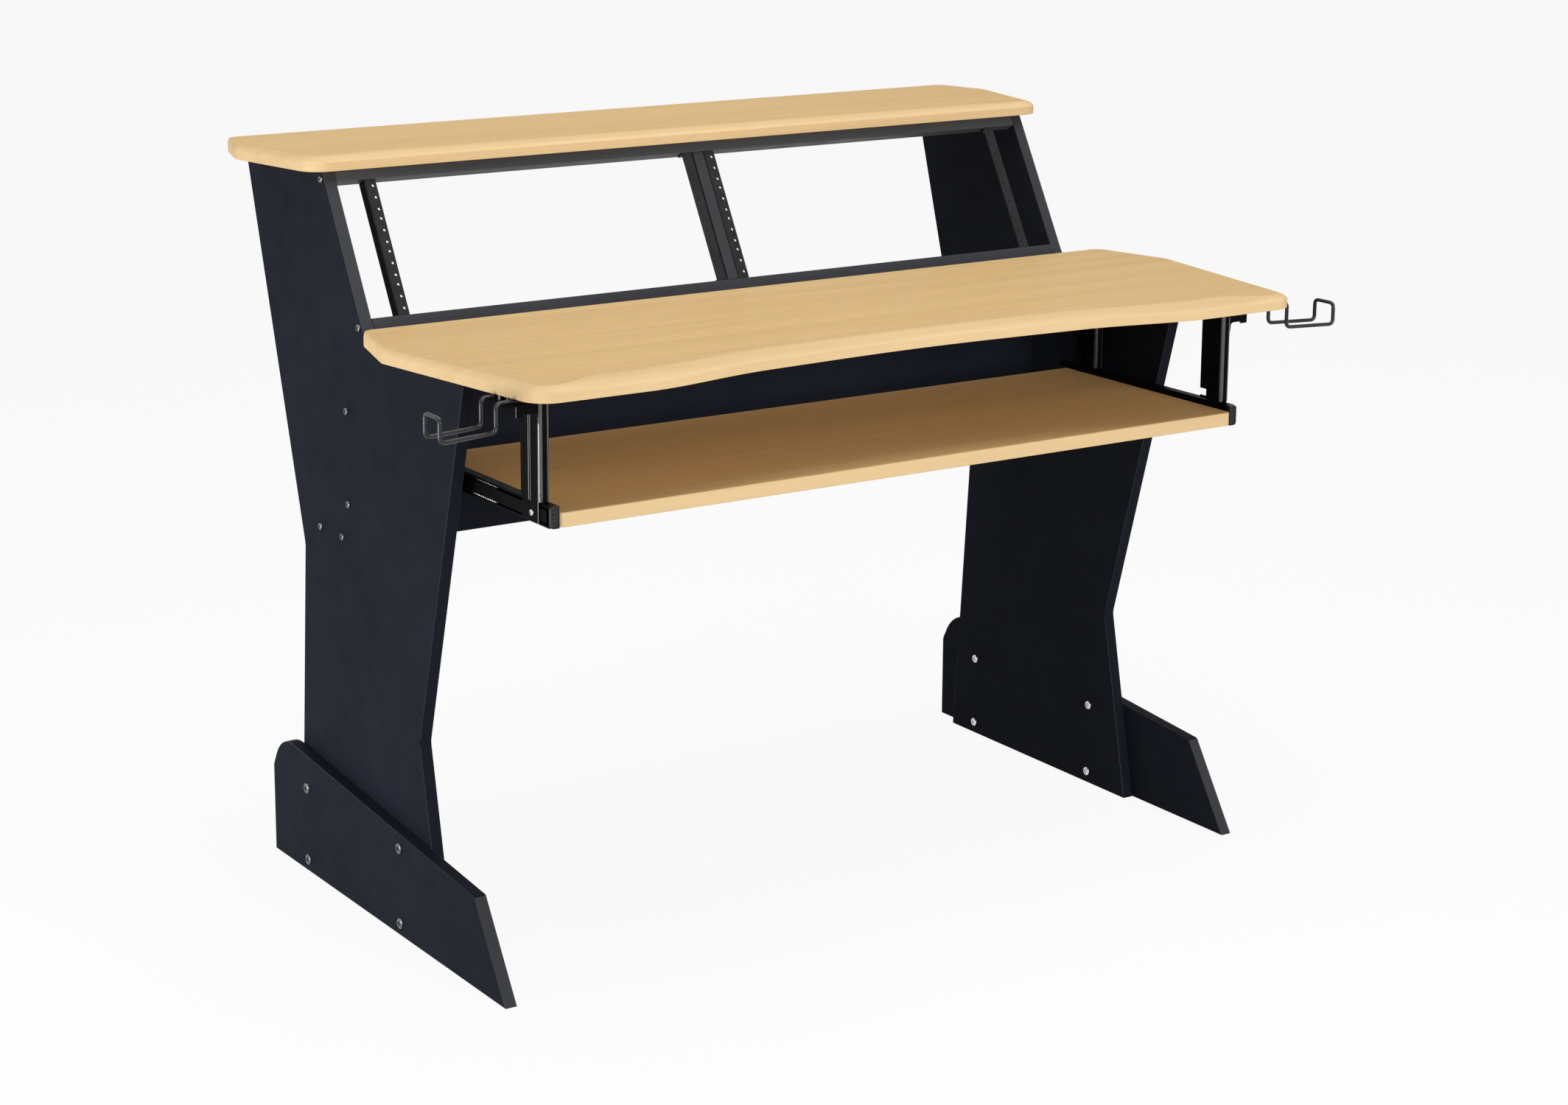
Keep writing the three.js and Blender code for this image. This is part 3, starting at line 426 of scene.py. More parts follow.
class Palette:
    """Every finish of the desk, each built once."""

    def __init__(self) -> None:
        """Builds the materials."""
        self.maple = MapleDecor(
            "maple_decor",
            pale=(0.74, 0.51, 0.25), deep=(0.685, 0.462, 0.218), fleck=(0.5, 0.32, 0.14), fleck_share=0.5,
        ).material()
        self.lipping = MapleDecor(
            "maple_lipping",
            pale=(0.79, 0.575, 0.315), deep=(0.73, 0.515, 0.27), fleck=(0.63, 0.43, 0.21), fleck_share=0.25,
        ).material()
        self.board = BlackBoard(
            "board_face", base=(0.0098, 0.0118, 0.018), worn=(0.0128, 0.0152, 0.0228)
        ).material()
        # Lighter copy of the board colour for faces that the light falls on: painted light, and painted
        # highlight lines on rounded edges; the bottom rack bar and the post wear it all over as painted
        # light.
        self.board_painted_lit = BlackBoard(
            "board_painted_lit", base=(0.036, 0.038, 0.043), worn=(0.046, 0.048, 0.055),
            specular=0.1, rough_low=0.4, rough_high=0.52,
        ).material()
        # Still lighter copy of the board for the top rack bar, making up for the shelf's shade over it:
        # painted light.
        self.bar = BlackBoard(
            "bar_face_painted_lit", base=(0.06, 0.064, 0.068), worn=(0.072, 0.077, 0.081),
            specular=0.2, rough_low=0.4, rough_high=0.52,
        ).material()
        self.steel = PowderCoat("rack_coat", (0.018, 0.018, 0.0195)).material()
        self.hanger = PowderCoat("hanger_coat", (0.004, 0.004, 0.0045), specular=0.01).material()
        # Lighter, glossier copy of the hanger coat for its upright corners: the lighter colour is a painted
        # highlight line; the gloss catches the lamps.
        self.shine = PowderCoat(
            "coat_corner", (0.03, 0.03, 0.032), specular=1.0, rough_low=0.1, rough_high=0.18
        ).material()
        self.slide = PowderCoat("slide_coat", (0.004, 0.0045, 0.0045), specular=0.01).material()
        self.cage = BareMetal(
            "cage_zinc", base=(0.62, 0.63, 0.65), tarnish=(0.5, 0.5, 0.52), grain=(900.0, 12.0, 900.0)
        ).material()
        self.ball = BareMetal(
            "ball_chrome", base=(0.85, 0.86, 0.88), tarnish=(0.78, 0.79, 0.8), grain=(90.0, 90.0, 90.0),
            rough_low=0.05, rough_high=0.1,
        ).material()
        self.zinc = BareMetal(
            "fastener_zinc", base=(0.66, 0.67, 0.69), tarnish=(0.5, 0.5, 0.5), grain=(700.0, 700.0, 700.0)
        ).material()
        # Darker copy of the zinc for heads that are not bright: painted shade standing in for the dark
        # surroundings they reflect.
        self.head = BareMetal(
            "head_black_zinc",
            base=(0.2, 0.205, 0.215), tarnish=(0.1, 0.1, 0.105), grain=(700.0, 700.0, 700.0),
        ).material()
        self.wire = GlossBlack("wire_lacquer", (0.01, 0.01, 0.011)).material()
        self.plastic = MouldedPlastic(
            "cap_plastic", base=(0.012, 0.0125, 0.0135), worn=(0.03, 0.031, 0.033)
        ).material()


@dataclass
class Piece:
    """A mesh on its way into the desk: what it is called, what it rides on and what it stands for."""

    name: str
    slot: Slot
    body: str = FRAME_BODY
    stands_for: tuple[str, ...] = ()

    def place(
        self,
        shape: bmesh.types.BMesh,
        finishes: Sequence[bpy.types.Material],
        smooth: float = SMOOTH_ANGLE,
    ) -> bpy.types.Object:
        """Makes the object, dresses it and hands it to its body.

        Args:
            shape: the mesh in the frame's coordinates; it is freed.
            finishes: materials in the order of the faces' material numbers.
            smooth: faces that meet at less than this angle are shaded as one.

        Returns:
            The new object.
        """
        mesh = bpy.data.meshes.new(self.name)
        shape.to_mesh(mesh)
        shape.free()
        for finish in finishes:
            mesh.materials.append(finish)
        mesh.polygons.foreach_set("use_smooth", [True] * len(mesh.polygons))
        mesh.set_sharp_from_angle(angle=smooth)
        piece = bpy.data.objects.new(self.name, mesh)
        bpy.context.scene.collection.objects.link(piece)
        flattened = piece.modifiers.new("flat_faces", "WEIGHTED_NORMAL")
        flattened.keep_sharp = True
        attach(piece, self.body)
        if self.stands_for:
            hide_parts(*self.stands_for)
        log.info("%s: %d faces, rides on %s", self.name, len(mesh.polygons), self.body)
        return piece


def solid_of(node: bpy.types.Object) -> bmesh.types.BMesh:
    """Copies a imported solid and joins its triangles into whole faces.

    Args:
        node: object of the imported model.

    Returns:
        A new mesh in the frame's coordinates.
    """
    shape = bmesh.new()
    shape.from_mesh(node.data)
    bmesh.ops.remove_doubles(shape, verts=shape.verts, dist=WELD)
    bmesh.ops.dissolve_limit(
        shape, angle_limit=FLAT_ANGLE, verts=list(shape.verts), edges=list(shape.edges)
    )
    for face in shape.faces:
        face.material_index = 0
    return shape


def soften(shape: bmesh.types.BMesh, width: float, segments: int = 2, shortest: float = 0.0) -> None:
    """Rounds the sharp edges of a mesh.

    Args:
        shape: mesh that is changed.
        width: how far the rounding reaches from the edge.
        segments: steps of the rounding.
        shortest: edges shorter than this stay sharp.
    """
    edges = [
        edge
        for edge in shape.edges
        if edge.is_manifold
        and edge.calc_face_angle(0.0) > SHARP_ANGLE
        and edge.calc_length() >= shortest
    ]
    bmesh.ops.bevel(
        shape, geom=edges, offset=width, offset_type="OFFSET", segments=segments, profile=0.5,
        affect="EDGES", clamp_overlap=False,
    )
    shape.normal_update()


def paint_edges(shape: bmesh.types.BMesh, thin: Vector, number: int = 1) -> None:
    """Gives the faces that don't lie across a board's thin direction another material number.

    Args:
        shape: mesh of the board.
        thin: unit vector through the board's thickness.
        number: material number of the edges.
    """
    for face in shape.faces:
        if abs(face.normal.dot(thin)) < TURNED_TO:
            face.material_index = number


def paint_lit_slope(
    shape: bmesh.types.BMesh, number: int = 1, rise: float = 0.3, forward: float = 0.6, rounded: float = 0.2
) -> None:
    """Gives the faces that look up and to the front, and the rounded edges, another material number: a
    lighter colour painted where the light falls, as painted light on the sloping faces and painted highlight
    lines on the rounded edges.

    Args:
        shape: mesh of the board.
        number: material number of those faces.
        rise: least upward share of a sloping face's normal.
        forward: least share of it to the front.
        rounded: least sideways share of a rounded edge's normal.
    """
    for face in shape.faces:
        sideways = abs(face.normal.x)
        slope = sideways < TURNED_TO and face.normal.z > rise and face.normal.y < -forward
        if slope or rounded < sideways < SQUARE_TO:
            face.material_index = number


def paint_corners(shape: bmesh.types.BMesh, number: int = 1, upright: float = 0.3) -> None:
    """Gives the faces that round an upright corner another material number, for a lighter, glossier copy of
    the coat: the lighter colour is a painted highlight, the gloss catches the lamps' real reflections.

    Args:
        shape: mesh of the folded sheet.
        number: material number of those faces.
        upright: share of their normals upward or downward that they stay under.
    """
    for face in shape.faces:
        if max(abs(face.normal.x), abs(face.normal.y)) < SQUARE_TO and abs(face.normal.z) < upright:
            face.material_index = number


def add_box(shape: bmesh.types.BMesh, low: Sequence[float], high: Sequence[float]) -> None:
    """Adds a closed box between two corners.

    Args:
        shape: mesh that the box is added to.
        low: lowest corner.
        high: highest corner.
    """
    middle = [(a + b) / 2 for a, b in zip(low, high)]
    scale = Matrix.Diagonal([b - a for a, b in zip(low, high)]).to_4x4()
    bmesh.ops.create_cube(shape, size=1.0, matrix=Matrix.Translation(middle) @ scale)


def add_rings(shape: bmesh.types.BMesh, rings: Sequence[Sequence[Vector]], number: int = 0) -> None:
    """Adds a closed body through rings of equal point count.

    Args:
        shape: mesh that the body is added to.
        rings: the rings in order, each as points in order.
        number: material number of the faces.
    """
    levels = [[shape.verts.new(point) for point in ring] for ring in rings]
    faces = [shape.faces.new(list(reversed(levels[0]))), shape.faces.new(levels[-1])]
    for lower, upper in zip(levels, levels[1:]):
        count = len(lower)
        for at in range(count):
            after = (at + 1) % count
            faces.append(shape.faces.new((lower[at], lower[after], upper[after], upper[at])))
    for face in faces:
        face.material_index = number
    bmesh.ops.recalc_face_normals(shape, faces=faces)


def circle_points(radius: float, count: int) -> list[Spot]:
    """Points of a circle round the origin.

    Args:
        radius: radius of the circle.
        count: number of points.

    Returns:
        The points in order, from the first axis on.
    """
    turns = [2 * math.pi * step / count for step in range(count)]
    return [(radius * math.cos(turn), radius * math.sin(turn)) for turn in turns]


def arc_corner(before: Vector, corner: Vector, after: Vector, radius: float, steps: int) -> Outline:
    """Points of the arc that rounds one corner of an outline.

    Args:
        before: outline point before the corner.
        corner: the corner.
        after: outline point after the corner.
        radius: radius of the arc.
        steps: steps of the arc.

    Returns:
        The arc's points from the side of before to the side of after.
    """
    back = (before - corner).normalized()
    ahead = (after - corner).normalized()
    half = back.angle(ahead) / 2
    centre = corner + (back + ahead).normalized() * (radius / math.sin(half))
    start = corner + back * (radius / math.tan(half)) - centre
    end = corner + ahead * (radius / math.tan(half)) - centre
    sweep = math.atan2(start.x * end.y - start.y * end.x, start.dot(end))
    return [centre + Matrix.Rotation(sweep * step / steps, 2) @ start for step in range(steps + 1)]


def ring_sweep(path: Sequence[Vector], radius: float, sides: int, crown: int = 3) -> list[Outline]:
    """Rings of a round bar along a path, with domed ends.

    Args:
        path: points of the centre line.
        radius: radius of the bar.
        sides: points in each ring.
        crown: rings of each domed end.

    Returns:
        The rings from the first end to the last.
    """
    last = len(path) - 1
    tangents = [(path[min(at + 1, last)] - path[max(at - 1, 0)]).normalized() for at in range(len(path))]
    across = tangents[0].orthogonal().normalized()
    stations: list[tuple[Vector, Vector, float]] = []
    for place, along in zip(path, tangents):
        stations.append((place, along, radius))
    for end, sign in ((0, -1), (last, 1)):
        domes = []
        for step in range(1, crown + 1):
            angle = math.pi / 2 * step / (crown + 0.5)
            shift = tangents[end] * (sign * radius * (math.sin(angle) - 1))
            domes.append((path[end] + shift, tangents[end], radius * math.cos(angle)))
        place, along, _ = stations[0] if sign < 0 else stations[-1]
        pulled = (place - along * (sign * radius), along, radius)
        stations = [*reversed(domes), pulled, *stations[1:]] if sign < 0 else [*stations[:-1], pulled, *domes]
    rings = []
    for place, along, reach in stations:
        across = (across - along * across.dot(along)).normalized()
        other = along.cross(across)
        rings.append([
            place + (across * math.cos(turn) + other * math.sin(turn)) * reach
            for turn in (2 * math.pi * side / sides for side in range(sides))
        ])
    return rings


@dataclass(frozen=True)
class NoseDepths:
    """How far in the softened upper edge of a top starts, place by place."""

    rear: float
    side: float
    corner: float
    front: float
    middle: float


@dataclass(frozen=True)
class FrontHollow:
    """Hollow in the worktop's front edge, for the person who sits there."""

    wing_length: float = 145 * MM
    bend_length: float = 186 * MM
    shoulder_depth: float = 29.5 * MM
    depth: float = 41 * MM
    wing_pull_share: float = 0.31
    shoulder_pull_share: float = 0.37
    middle_pull_share: float = 0.35
    slope_share: float = 0.068
    steps: int = 24

    def curve(self, front_half: float, front_y: float) -> Outline:
        """Points of the right half, from the wing to the desk's middle.

        Args:
            front_half: half the worktop's width at its front corners.
            front_y: place of the wings' front edge.

        Returns:
            The points, with the last one on the middle plane.
        """
        wing = front_half - self.wing_length
        shoulder = wing - self.bend_length
        shoulder_y = front_y + self.shoulder_depth
        middle_y = front_y + self.depth
        outer_pull = self.bend_length * self.shoulder_pull_share
        inner_pull = shoulder * self.middle_pull_share
        bend = (
            Vector((wing, front_y)),
            Vector((wing - self.bend_length * self.wing_pull_share, front_y)),
            Vector((shoulder + outer_pull, shoulder_y - outer_pull * self.slope_share)),
            Vector((shoulder, shoulder_y)),
        )
        hollow = (
            Vector((shoulder, shoulder_y)),
            Vector((shoulder - inner_pull, shoulder_y + inner_pull * self.slope_share)),
            Vector((inner_pull, middle_y)),
            Vector((0.0, middle_y)),
        )
        points = [self.bezier(bend, step / self.steps) for step in range(self.steps)]
        return points + [self.bezier(hollow, step / self.steps) for step in range(self.steps + 1)]

    @staticmethod
    def bezier(handles: Sequence[Vector], share: float) -> Vector:
        """Point of a cubic Bezier curve.

        Args:
            handles: the curve's four handles.
            share: parameter of the point, from 0 to 1.

        Returns:
            The point.
        """
        rest = 1 - share
        weights = (rest**3, 3 * rest * rest * share, 3 * rest * share * share, share**3)
        return sum((handle * weight for handle, weight in zip(handles, weights)), Vector((0.0, 0.0)))


@dataclass
class TopBoard:
    """Maple top with a softened upper edge: the worktop or the shelf."""

    node: str
    rear_overhang: float
    wide_overhang: float
    front_overhang: float
    wide_setback: float
    corner_radius: float
    nose: NoseDepths
    hollow: FrontHollow | None = None
    side_radius: float = 18 * MM
    nose_run: float = 70 * MM
    nose_drop: float = 7 * MM
    arris: float = 0.8 * MM
    arris_bend_share: float = 0.3
    nose_power: float = 1.6
    nose_steps: int = 9
    corner_steps: int = 10

    def half_outline(self) -> list[tuple[Vector, float]]:
        """Right half of the outline, from the rear to the middle of the front.

        Returns:
            The points, each with how far in its softened upper edge starts.
        """
        low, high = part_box(self.node)
        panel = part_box("side_panel_right")[1].x
        rear = Vector((panel + self.rear_overhang, high.y))
        wide = Vector((panel + self.wide_overhang, low.y + self.wide_setback))
        front = Vector((panel + self.front_overhang, low.y))
        corners = (
            (Vector((0.0, high.y)), rear, wide, self.side_radius, self.nose.rear),
            (rear, wide, front, self.side_radius, self.nose.side),
            (wide, front, Vector((0.0, low.y)), self.corner_radius, self.nose.corner),
        )
        half = [(Vector((0.0, high.y)), self.nose.rear)]
        for before, corner, after, radius, soft in corners:
            arc = arc_corner(before, corner, after, radius, self.corner_steps)
            half.extend((point, soft) for point in arc)
        run_start = half[-1][0].x
        for step in range(1, self.corner_steps + 1):
            share = step / self.corner_steps
            eased = share * share * (3 - 2 * share)
            soft = self.nose.corner + (self.nose.front - self.nose.corner) * eased
            half.append((Vector((run_start - self.nose_run * share, low.y)), soft))
        if self.hollow is None:
            half.append((Vector((0.0, low.y)), self.nose.middle))
            return half
        points = self.hollow.curve(front.x, low.y)
        for point in points:
            share = point.x / points[0].x
            half.append((point, self.nose.middle + (self.nose.front - self.nose.middle) * share))
        return half

    def outline(self) -> list[tuple[Vector, float]]:
        """Whole outline, once round from the left rear corner over the front.

        Returns:
            The points, each with how far in its softened upper edge starts.
        """
        half = self.half_outline()
        other = [(Vector((-point.x, point.y)), soft) for point, soft in reversed(half) if point.x > WELD]
        return list(reversed(half + other))

    def levels(self, low: float, high: float) -> list[tuple[float, float, float]]:
        """Steps of the edge's profile from the underside up.

        Args:
            low: height of the underside.
            high: height of the upper face.

        Returns:
            For each step the share of the softening, the fixed inset and the height.
        """
        bend = self.arris * self.arris_bend_share
        steps = [(0.0, self.arris, low), (0.0, bend, low + bend), (0.0, 0.0, low + self.arris)]
        start = high - self.nose_drop
        for step in range(self.nose_steps + 1):
            turn = math.pi / 2 * step / self.nose_steps
            inset = 1 - max(math.cos(turn), 0.0) ** (2 / self.nose_power)
            rise = math.sin(turn) ** (2 / self.nose_power)
            steps.append((inset, 0.0, start + self.nose_drop * rise))
        return steps

    def build(self, palette: Palette) -> bpy.types.Object:
        """Builds the top in place of its plain solid.

        Args:
            palette: the finishes.

        Returns:
            The top.
        """
        low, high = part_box(self.node)
        entries = self.outline()
        count = len(entries)
        inwards = []
        for at, (point, _) in enumerate(entries):
            along = (entries[(at + 1) % count][0] - entries[at - 1][0]).normalized()
            inwards.append(Vector((-along.y, along.x)))
        rings = []
        for share, fixed, height in self.levels(low.z, high.z):
            ring = []
            for (point, soft), inward in zip(entries, inwards):
                moved = point + inward * (soft * share + fixed)
                ring.append(Vector((moved.x, moved.y, height)))
            rings.append(ring)
        shape = bmesh.new()
        add_rings(shape, rings, number=1)
        for face in shape.faces:
            if len(face.verts) > 4:
                face.material_index = 0
        piece = Piece(f"{self.node}_maple", Slot.MAPLE, stands_for=(self.node,))
        return piece.place(shape, (palette.maple, palette.lipping), smooth=TOP_SMOOTH_ANGLE)


@dataclass
class KeyboardTray:
    """Maple board that slides out under the worktop."""

    node: str = "keyboard_tray"
    corner_radius: float = 6 * MM
    arris: float = 1.6 * MM
    steps: int = 8

    def build(self, palette: Palette) -> bpy.types.Object:
        """Builds the tray with rounded front corners and rounded upper and lower edges.

        Args:
            palette: the finishes.

        Returns:
            The tray.
        """
        low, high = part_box(self.node)
        rear_right, front_right = Vector((high.x, high.y)), Vector((high.x, low.y))
        arc = arc_corner(rear_right, front_right, Vector((0.0, low.y)), self.corner_radius, self.steps)
        right = [rear_right, *arc]
        outline = list(reversed(right + [Vector((-point.x, point.y)) for point in reversed(right)]))
        shape = bmesh.new()
        add_rings(shape, [[Vector((p.x, p.y, height)) for p in outline] for height in (low.z, high.z)])
        soften(shape, self.arris, segments=3)
        paint_edges(shape, Vector((0.0, 0.0, 1.0)))
        piece = Piece("keyboard_tray_maple", Slot.MAPLE, TRAY_BODY, (self.node,))
        return piece.place(shape, (palette.maple, palette.lipping), smooth=TOP_SMOOTH_ANGLE)


@dataclass
class Carcass:
    """Black boards that carry the tops, each with a lighter colour painted on its front faces that slope up
    and on its rounded edges, as painted light and painted highlights.
    """

    edge_width: float = 0.9 * MM
    shortest_edge: float = 2.5 * MM
    boards: tuple[str, ...] = (
        "side_panel_left", "side_panel_right", "foot_left", "foot_right", "modesty_panel", "cable_board",
    )

    def build(self, nodes: dict[str, bpy.types.Object], palette: Palette) -> list[bpy.types.Object]:
        """Builds every board from its solid, with rounded edges.

        Args:
            nodes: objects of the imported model.
            palette: the finishes.

        Returns:
            The boards.
        """
        return [self.board(nodes[name], palette) for name in self.boards]

    def board(self, node: bpy.types.Object, palette: Palette) -> bpy.types.Object:
        """Builds one board.

        Args:
            node: plain solid of the board.
            palette: the finishes.

        Returns:
            The board.
        """
        shape = solid_of(node)
        soften(shape, self.edge_width, segments=3, shortest=self.shortest_edge)
        # Front faces that slope up and the rounded edges get the lighter colour: painted light and painted
        # highlights.
        paint_lit_slope(shape)
        piece = Piece(f"{node.name}_board", Slot.BOARD, stands_for=(node.name,))
        return piece.place(shape, (palette.board, palette.board_painted_lit))


@dataclass
class RackFront:
    """Slanted front with two bars, the post between the bays and four pierced rails."""

    slant: float = math.radians(29.5)
    unit: float = 44.45 * MM
    units: int = 4
    hole_pitch: float = 15.875 * MM
    holes_per_unit: int = 3
    hole_diameter: float = 3.6 * MM
    free_edge: float = 5 * MM
    sheet: float = 2 * MM
    fold_radius: float = 3 * MM
    sheet_arris: float = 0.25 * MM
    tab_inset: float = 0.2 * MM
    bar_arris: float = 0.8 * MM
    shortest_edge: float = 3 * MM
    slot_width: float = 3 * MM
    slot_length: float = 8 * MM
    fold_steps: int = 6

    def to_frame(self, nodes: dict[str, bpy.types.Object]) -> Matrix:
        """Place of the rack's own frame.

        Its Y runs into the rack and its Z up the slant, and it starts at the side panels' top front corner.

        Args:
            nodes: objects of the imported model.

        Returns:
            The turn and the place, from the rack's frame to the desk's.
        """
        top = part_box("side_panel_right")[1].z
        corner_y = min(v.co.y for v in nodes["side_panel_right"].data.vertices if v.co.z > top - WELD)
        return Matrix.Translation((0.0, corner_y, top)) @ Matrix.Rotation(-self.slant, 4, "X")

    @staticmethod
    def local_box(node: bpy.types.Object, place: Matrix) -> tuple[Vector, Vector]:
        """Box of a plain solid in the rack's own frame.

        Args:
            node: the solid.
            place: place of the rack's own frame.

        Returns:
            Its lowest and its highest corner.
        """
        back = place.inverted()
        points = [back @ vertex.co for vertex in node.data.vertices]
        low = Vector(min(point[axis] for point in points) for axis in range(3))
        high = Vector(max(point[axis] for point in points) for axis in range(3))
        return low, high

    def build(self, nodes: dict[str, bpy.types.Object], palette: Palette) -> list[bpy.types.Object]:
        """Builds the bars, the post and the rails.

        Args:
            nodes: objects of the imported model.
            palette: the finishes.

        Returns:
            The pieces.
        """
        place = self.to_frame(nodes)
        pieces = []
        # The top bar gets the still lighter copy against the shelf's shade, the bottom bar and the post the
        # lighter copy: both are painted light on the same black board.
        bars = (
            ("rack_bar_top", palette.bar), ("rack_bar_bottom", palette.board_painted_lit),
            ("rack_divider", palette.board_painted_lit),
        )
        for name, finish in bars:
            shape = solid_of(nodes[name])
            soften(shape, self.bar_arris, segments=3, shortest=self.shortest_edge)
            pieces.append(Piece(f"{name}_board", Slot.BOARD, stands_for=(name,)).place(shape, (finish,)))
        for side in Side:
            for column, outward in (("outer", 1), ("inner", -1)):
                node = nodes[f"rack_rail_{column}_{side.label}"]
                pieces.append(self.rail(node, side, outward, place, palette))
        return pieces

    def rail(
        self, node: bpy.types.Object, side: Side, outward: int, place: Matrix, palette: Palette
    ) -> bpy.types.Object:
        """Builds one folded rail with its round holes and the slots in its flange.

        Args:
            node: plain solid of the rail.
            side: half of the desk that it stands in.
            outward: +1 if the flange is on the rail's outer side, -1 if it is on the inner one.
            place: place of the rack's own frame.
            palette: the finishes.

        Returns:
            The rail.
        """
        low, high = self.local_box(node, place)
        away = side.value * outward
        free_x = low.x if away > 0 else high.x
        corner = high.x - low.x
        middle_z = (low.z + high.z) / 2
        centres = []
        for unit in range(self.units):
            unit_middle = middle_z + (unit - (self.units - 1) / 2) * self.unit
            for hole in range(self.holes_per_unit):
                centres.append(unit_middle + (hole - (self.holes_per_unit - 1) / 2) * self.hole_pitch)
        cuts = [low.z, *((a + b) / 2 for a, b in zip(centres, centres[1:])), high.z]
        flat = corner - self.fold_radius
        depth = high.y - low.y
        bend = self.fold_radius

        def face_point(across: float, height: float) -> Vector:
            """Point of the rail's face."""
            return Vector((across, low.y, height))

        def flange_point(across: float, height: float) -> Vector:
            """Point of the flange that runs into the rack."""
            return Vector((corner, low.y + across, height))

        shape = bmesh.new()
        for centre, bottom, top in zip(centres, cuts, cuts[1:]):
            hole = self.round_hole(self.free_edge, centre)
            self.pierced_cell(shape, (0.0, flat, bottom, top), hole, face_point)
            slot = self.long_hole((self.sheet + depth) / 2, centre)
            self.pierced_cell(shape, (bend, depth, bottom, top), slot, flange_point)
            self.fold(shape, flat, bend, low.y, (bottom, top))
        bmesh.ops.remove_doubles(shape, verts=shape.verts, dist=WELD)
        bmesh.ops.recalc_face_normals(shape, faces=shape.faces)
        bmesh.ops.solidify(shape, geom=list(shape.faces), thickness=self.sheet)
        return self.finish_rail(shape, node, (free_x, away, low, high), place, palette)

    def finish_rail(
        self,
        shape: bmesh.types.BMesh,
        node: bpy.types.Object,
        room: tuple[float, int, Vector, Vector],
        place: Matrix,
        palette: Palette,
    ) -> bpy.types.Object:
        """Moves the folded sheet to its column, adds its end tabs and rounds its edges.

        Args:
            shape: the folded sheet, counted from its free edge.
            node: plain solid of the rail.
            room: the free edge's place, the flange's direction, and the rail's corners in the rack's frame.
            place: place of the rack's own frame.
            palette: the finishes.

        Returns:
            The rail.
        """
        free_x, away, low, high = room
        inset = self.tab_inset
        width = high.x - low.x
        for bottom in (low.z, high.z - self.sheet):
            add_box(
                shape,
                (inset, low.y + inset, bottom + inset),
                (width - inset, high.y - self.fold_radius, bottom + self.sheet - inset),
            )
        soften(shape, self.sheet_arris, segments=2)
        shape.transform(Matrix.Translation((free_x, 0.0, 0.0)) @ Matrix.Diagonal((away, 1.0, 1.0, 1.0)))
        shape.transform(place)
        bmesh.ops.recalc_face_normals(shape, faces=shape.faces)
        name = node.name
        return Piece(f"{name}_steel", Slot.STEEL, stands_for=(name,)).place(shape, (palette.steel,))

    def round_hole(self, across: float, height: float) -> list[Spot]:
        """Points of a round hole.

        Args:
            across: place of its middle across the face.
            height: place of its middle along the rail.

        Returns:
            The points.
        """
        circle = circle_points(self.hole_diameter / 2, HOLE_POINTS)
        return [(across + x, height + z) for x, z in circle]

    def long_hole(self, across: float, height: float) -> list[Spot]:
        """Points of a slot with round ends that runs along the rail.

        Args:
            across: place of its middle across the flange.
            height: place of its middle along the rail.

        Returns:
            The points.
        """
        radius = self.slot_width / 2
        reach = self.slot_length / 2 - radius
        arc_steps = HOLE_POINTS // 2 - 2
        points = []
        for end, start in ((1, 0.0), (-1, math.pi)):
            middle = height + end * reach
            points.append((across + end * radius, height))
            for step in range(arc_steps + 1):
                angle = math.pi * step / arc_steps + start
                points.append((across + radius * math.cos(angle), middle + radius * math.sin(angle)))
        return points

    @staticmethod
    def cell_rim(room: tuple[float, float, float, float]) -> list[Spot]:
        """Points round a rectangle, each on the bearing of the hole's point of the same number.

        Args:
            room: left, right, bottom and top of the rectangle.

        Returns:
            The points.
        """
        left, right, bottom, top = room
        half_x, half_z = (right - left) / 2, (top - bottom) / 2
        steps = ((1, 0), (1, 0.5), (1, 1), (0.5, 1), (0, 1), (-0.5, 1), (-1, 1), (-1, 0.5))
        rim = [*steps, *((-x, -z) for x, z in steps)]
        return [(left + half_x * (1 + x), bottom + half_z * (1 + z)) for x, z in rim]

    def pierced_cell(
        self,
        shape: bmesh.types.BMesh,
        room: tuple[float, float, float, float],
        hole: list[Spot],
        to_point: Callable[[float, float], Vector],
    ) -> None:
        """Adds a rectangle with a hole as a ring of faces.

        Args:
            shape: mesh that the cell is added to.
            room: left, right, bottom and top of the rectangle.
            hole: points of the hole.
            to_point: turns a place on the flat sheet into a point.
        """
        outer = [shape.verts.new(to_point(*spot)) for spot in self.cell_rim(room)]
        inner = [shape.verts.new(to_point(*spot)) for spot in hole]
        for at in range(len(outer)):
            after = (at + 1) % len(outer)
            shape.faces.new((outer[at], outer[after], inner[after], inner[at]))

    def fold(
        self, shape: bmesh.types.BMesh, flat: float, bend: float, face_y: float, span: tuple[float, float]
    ) -> None:
        """Adds the rounded fold beside one cell, in rows that meet the points of the cell's rim.

        Args:
            shape: mesh that the fold is added to.
            flat: where the face ends.
            bend: outer radius of the fold.
            face_y: place of the face in the rack's frame.
            span: bottom and top of the cell.
        """
        bottom, top = span
        turns = [math.pi / 2 * step / self.fold_steps for step in range(self.fold_steps + 1)]
        cell_steps = HOLE_POINTS // 4
        rows = []
        for row in range(cell_steps + 1):
            height = bottom + (top - bottom) * row / cell_steps
            rows.append([
                shape.verts.new((flat + bend * math.sin(turn), face_y + bend * (1 - math.cos(turn)), height))
                for turn in turns
            ])
        for lower, upper in zip(rows, rows[1:]):
            for at in range(self.fold_steps):
                shape.faces.new((lower[at], lower[at + 1], upper[at + 1], upper[at]))


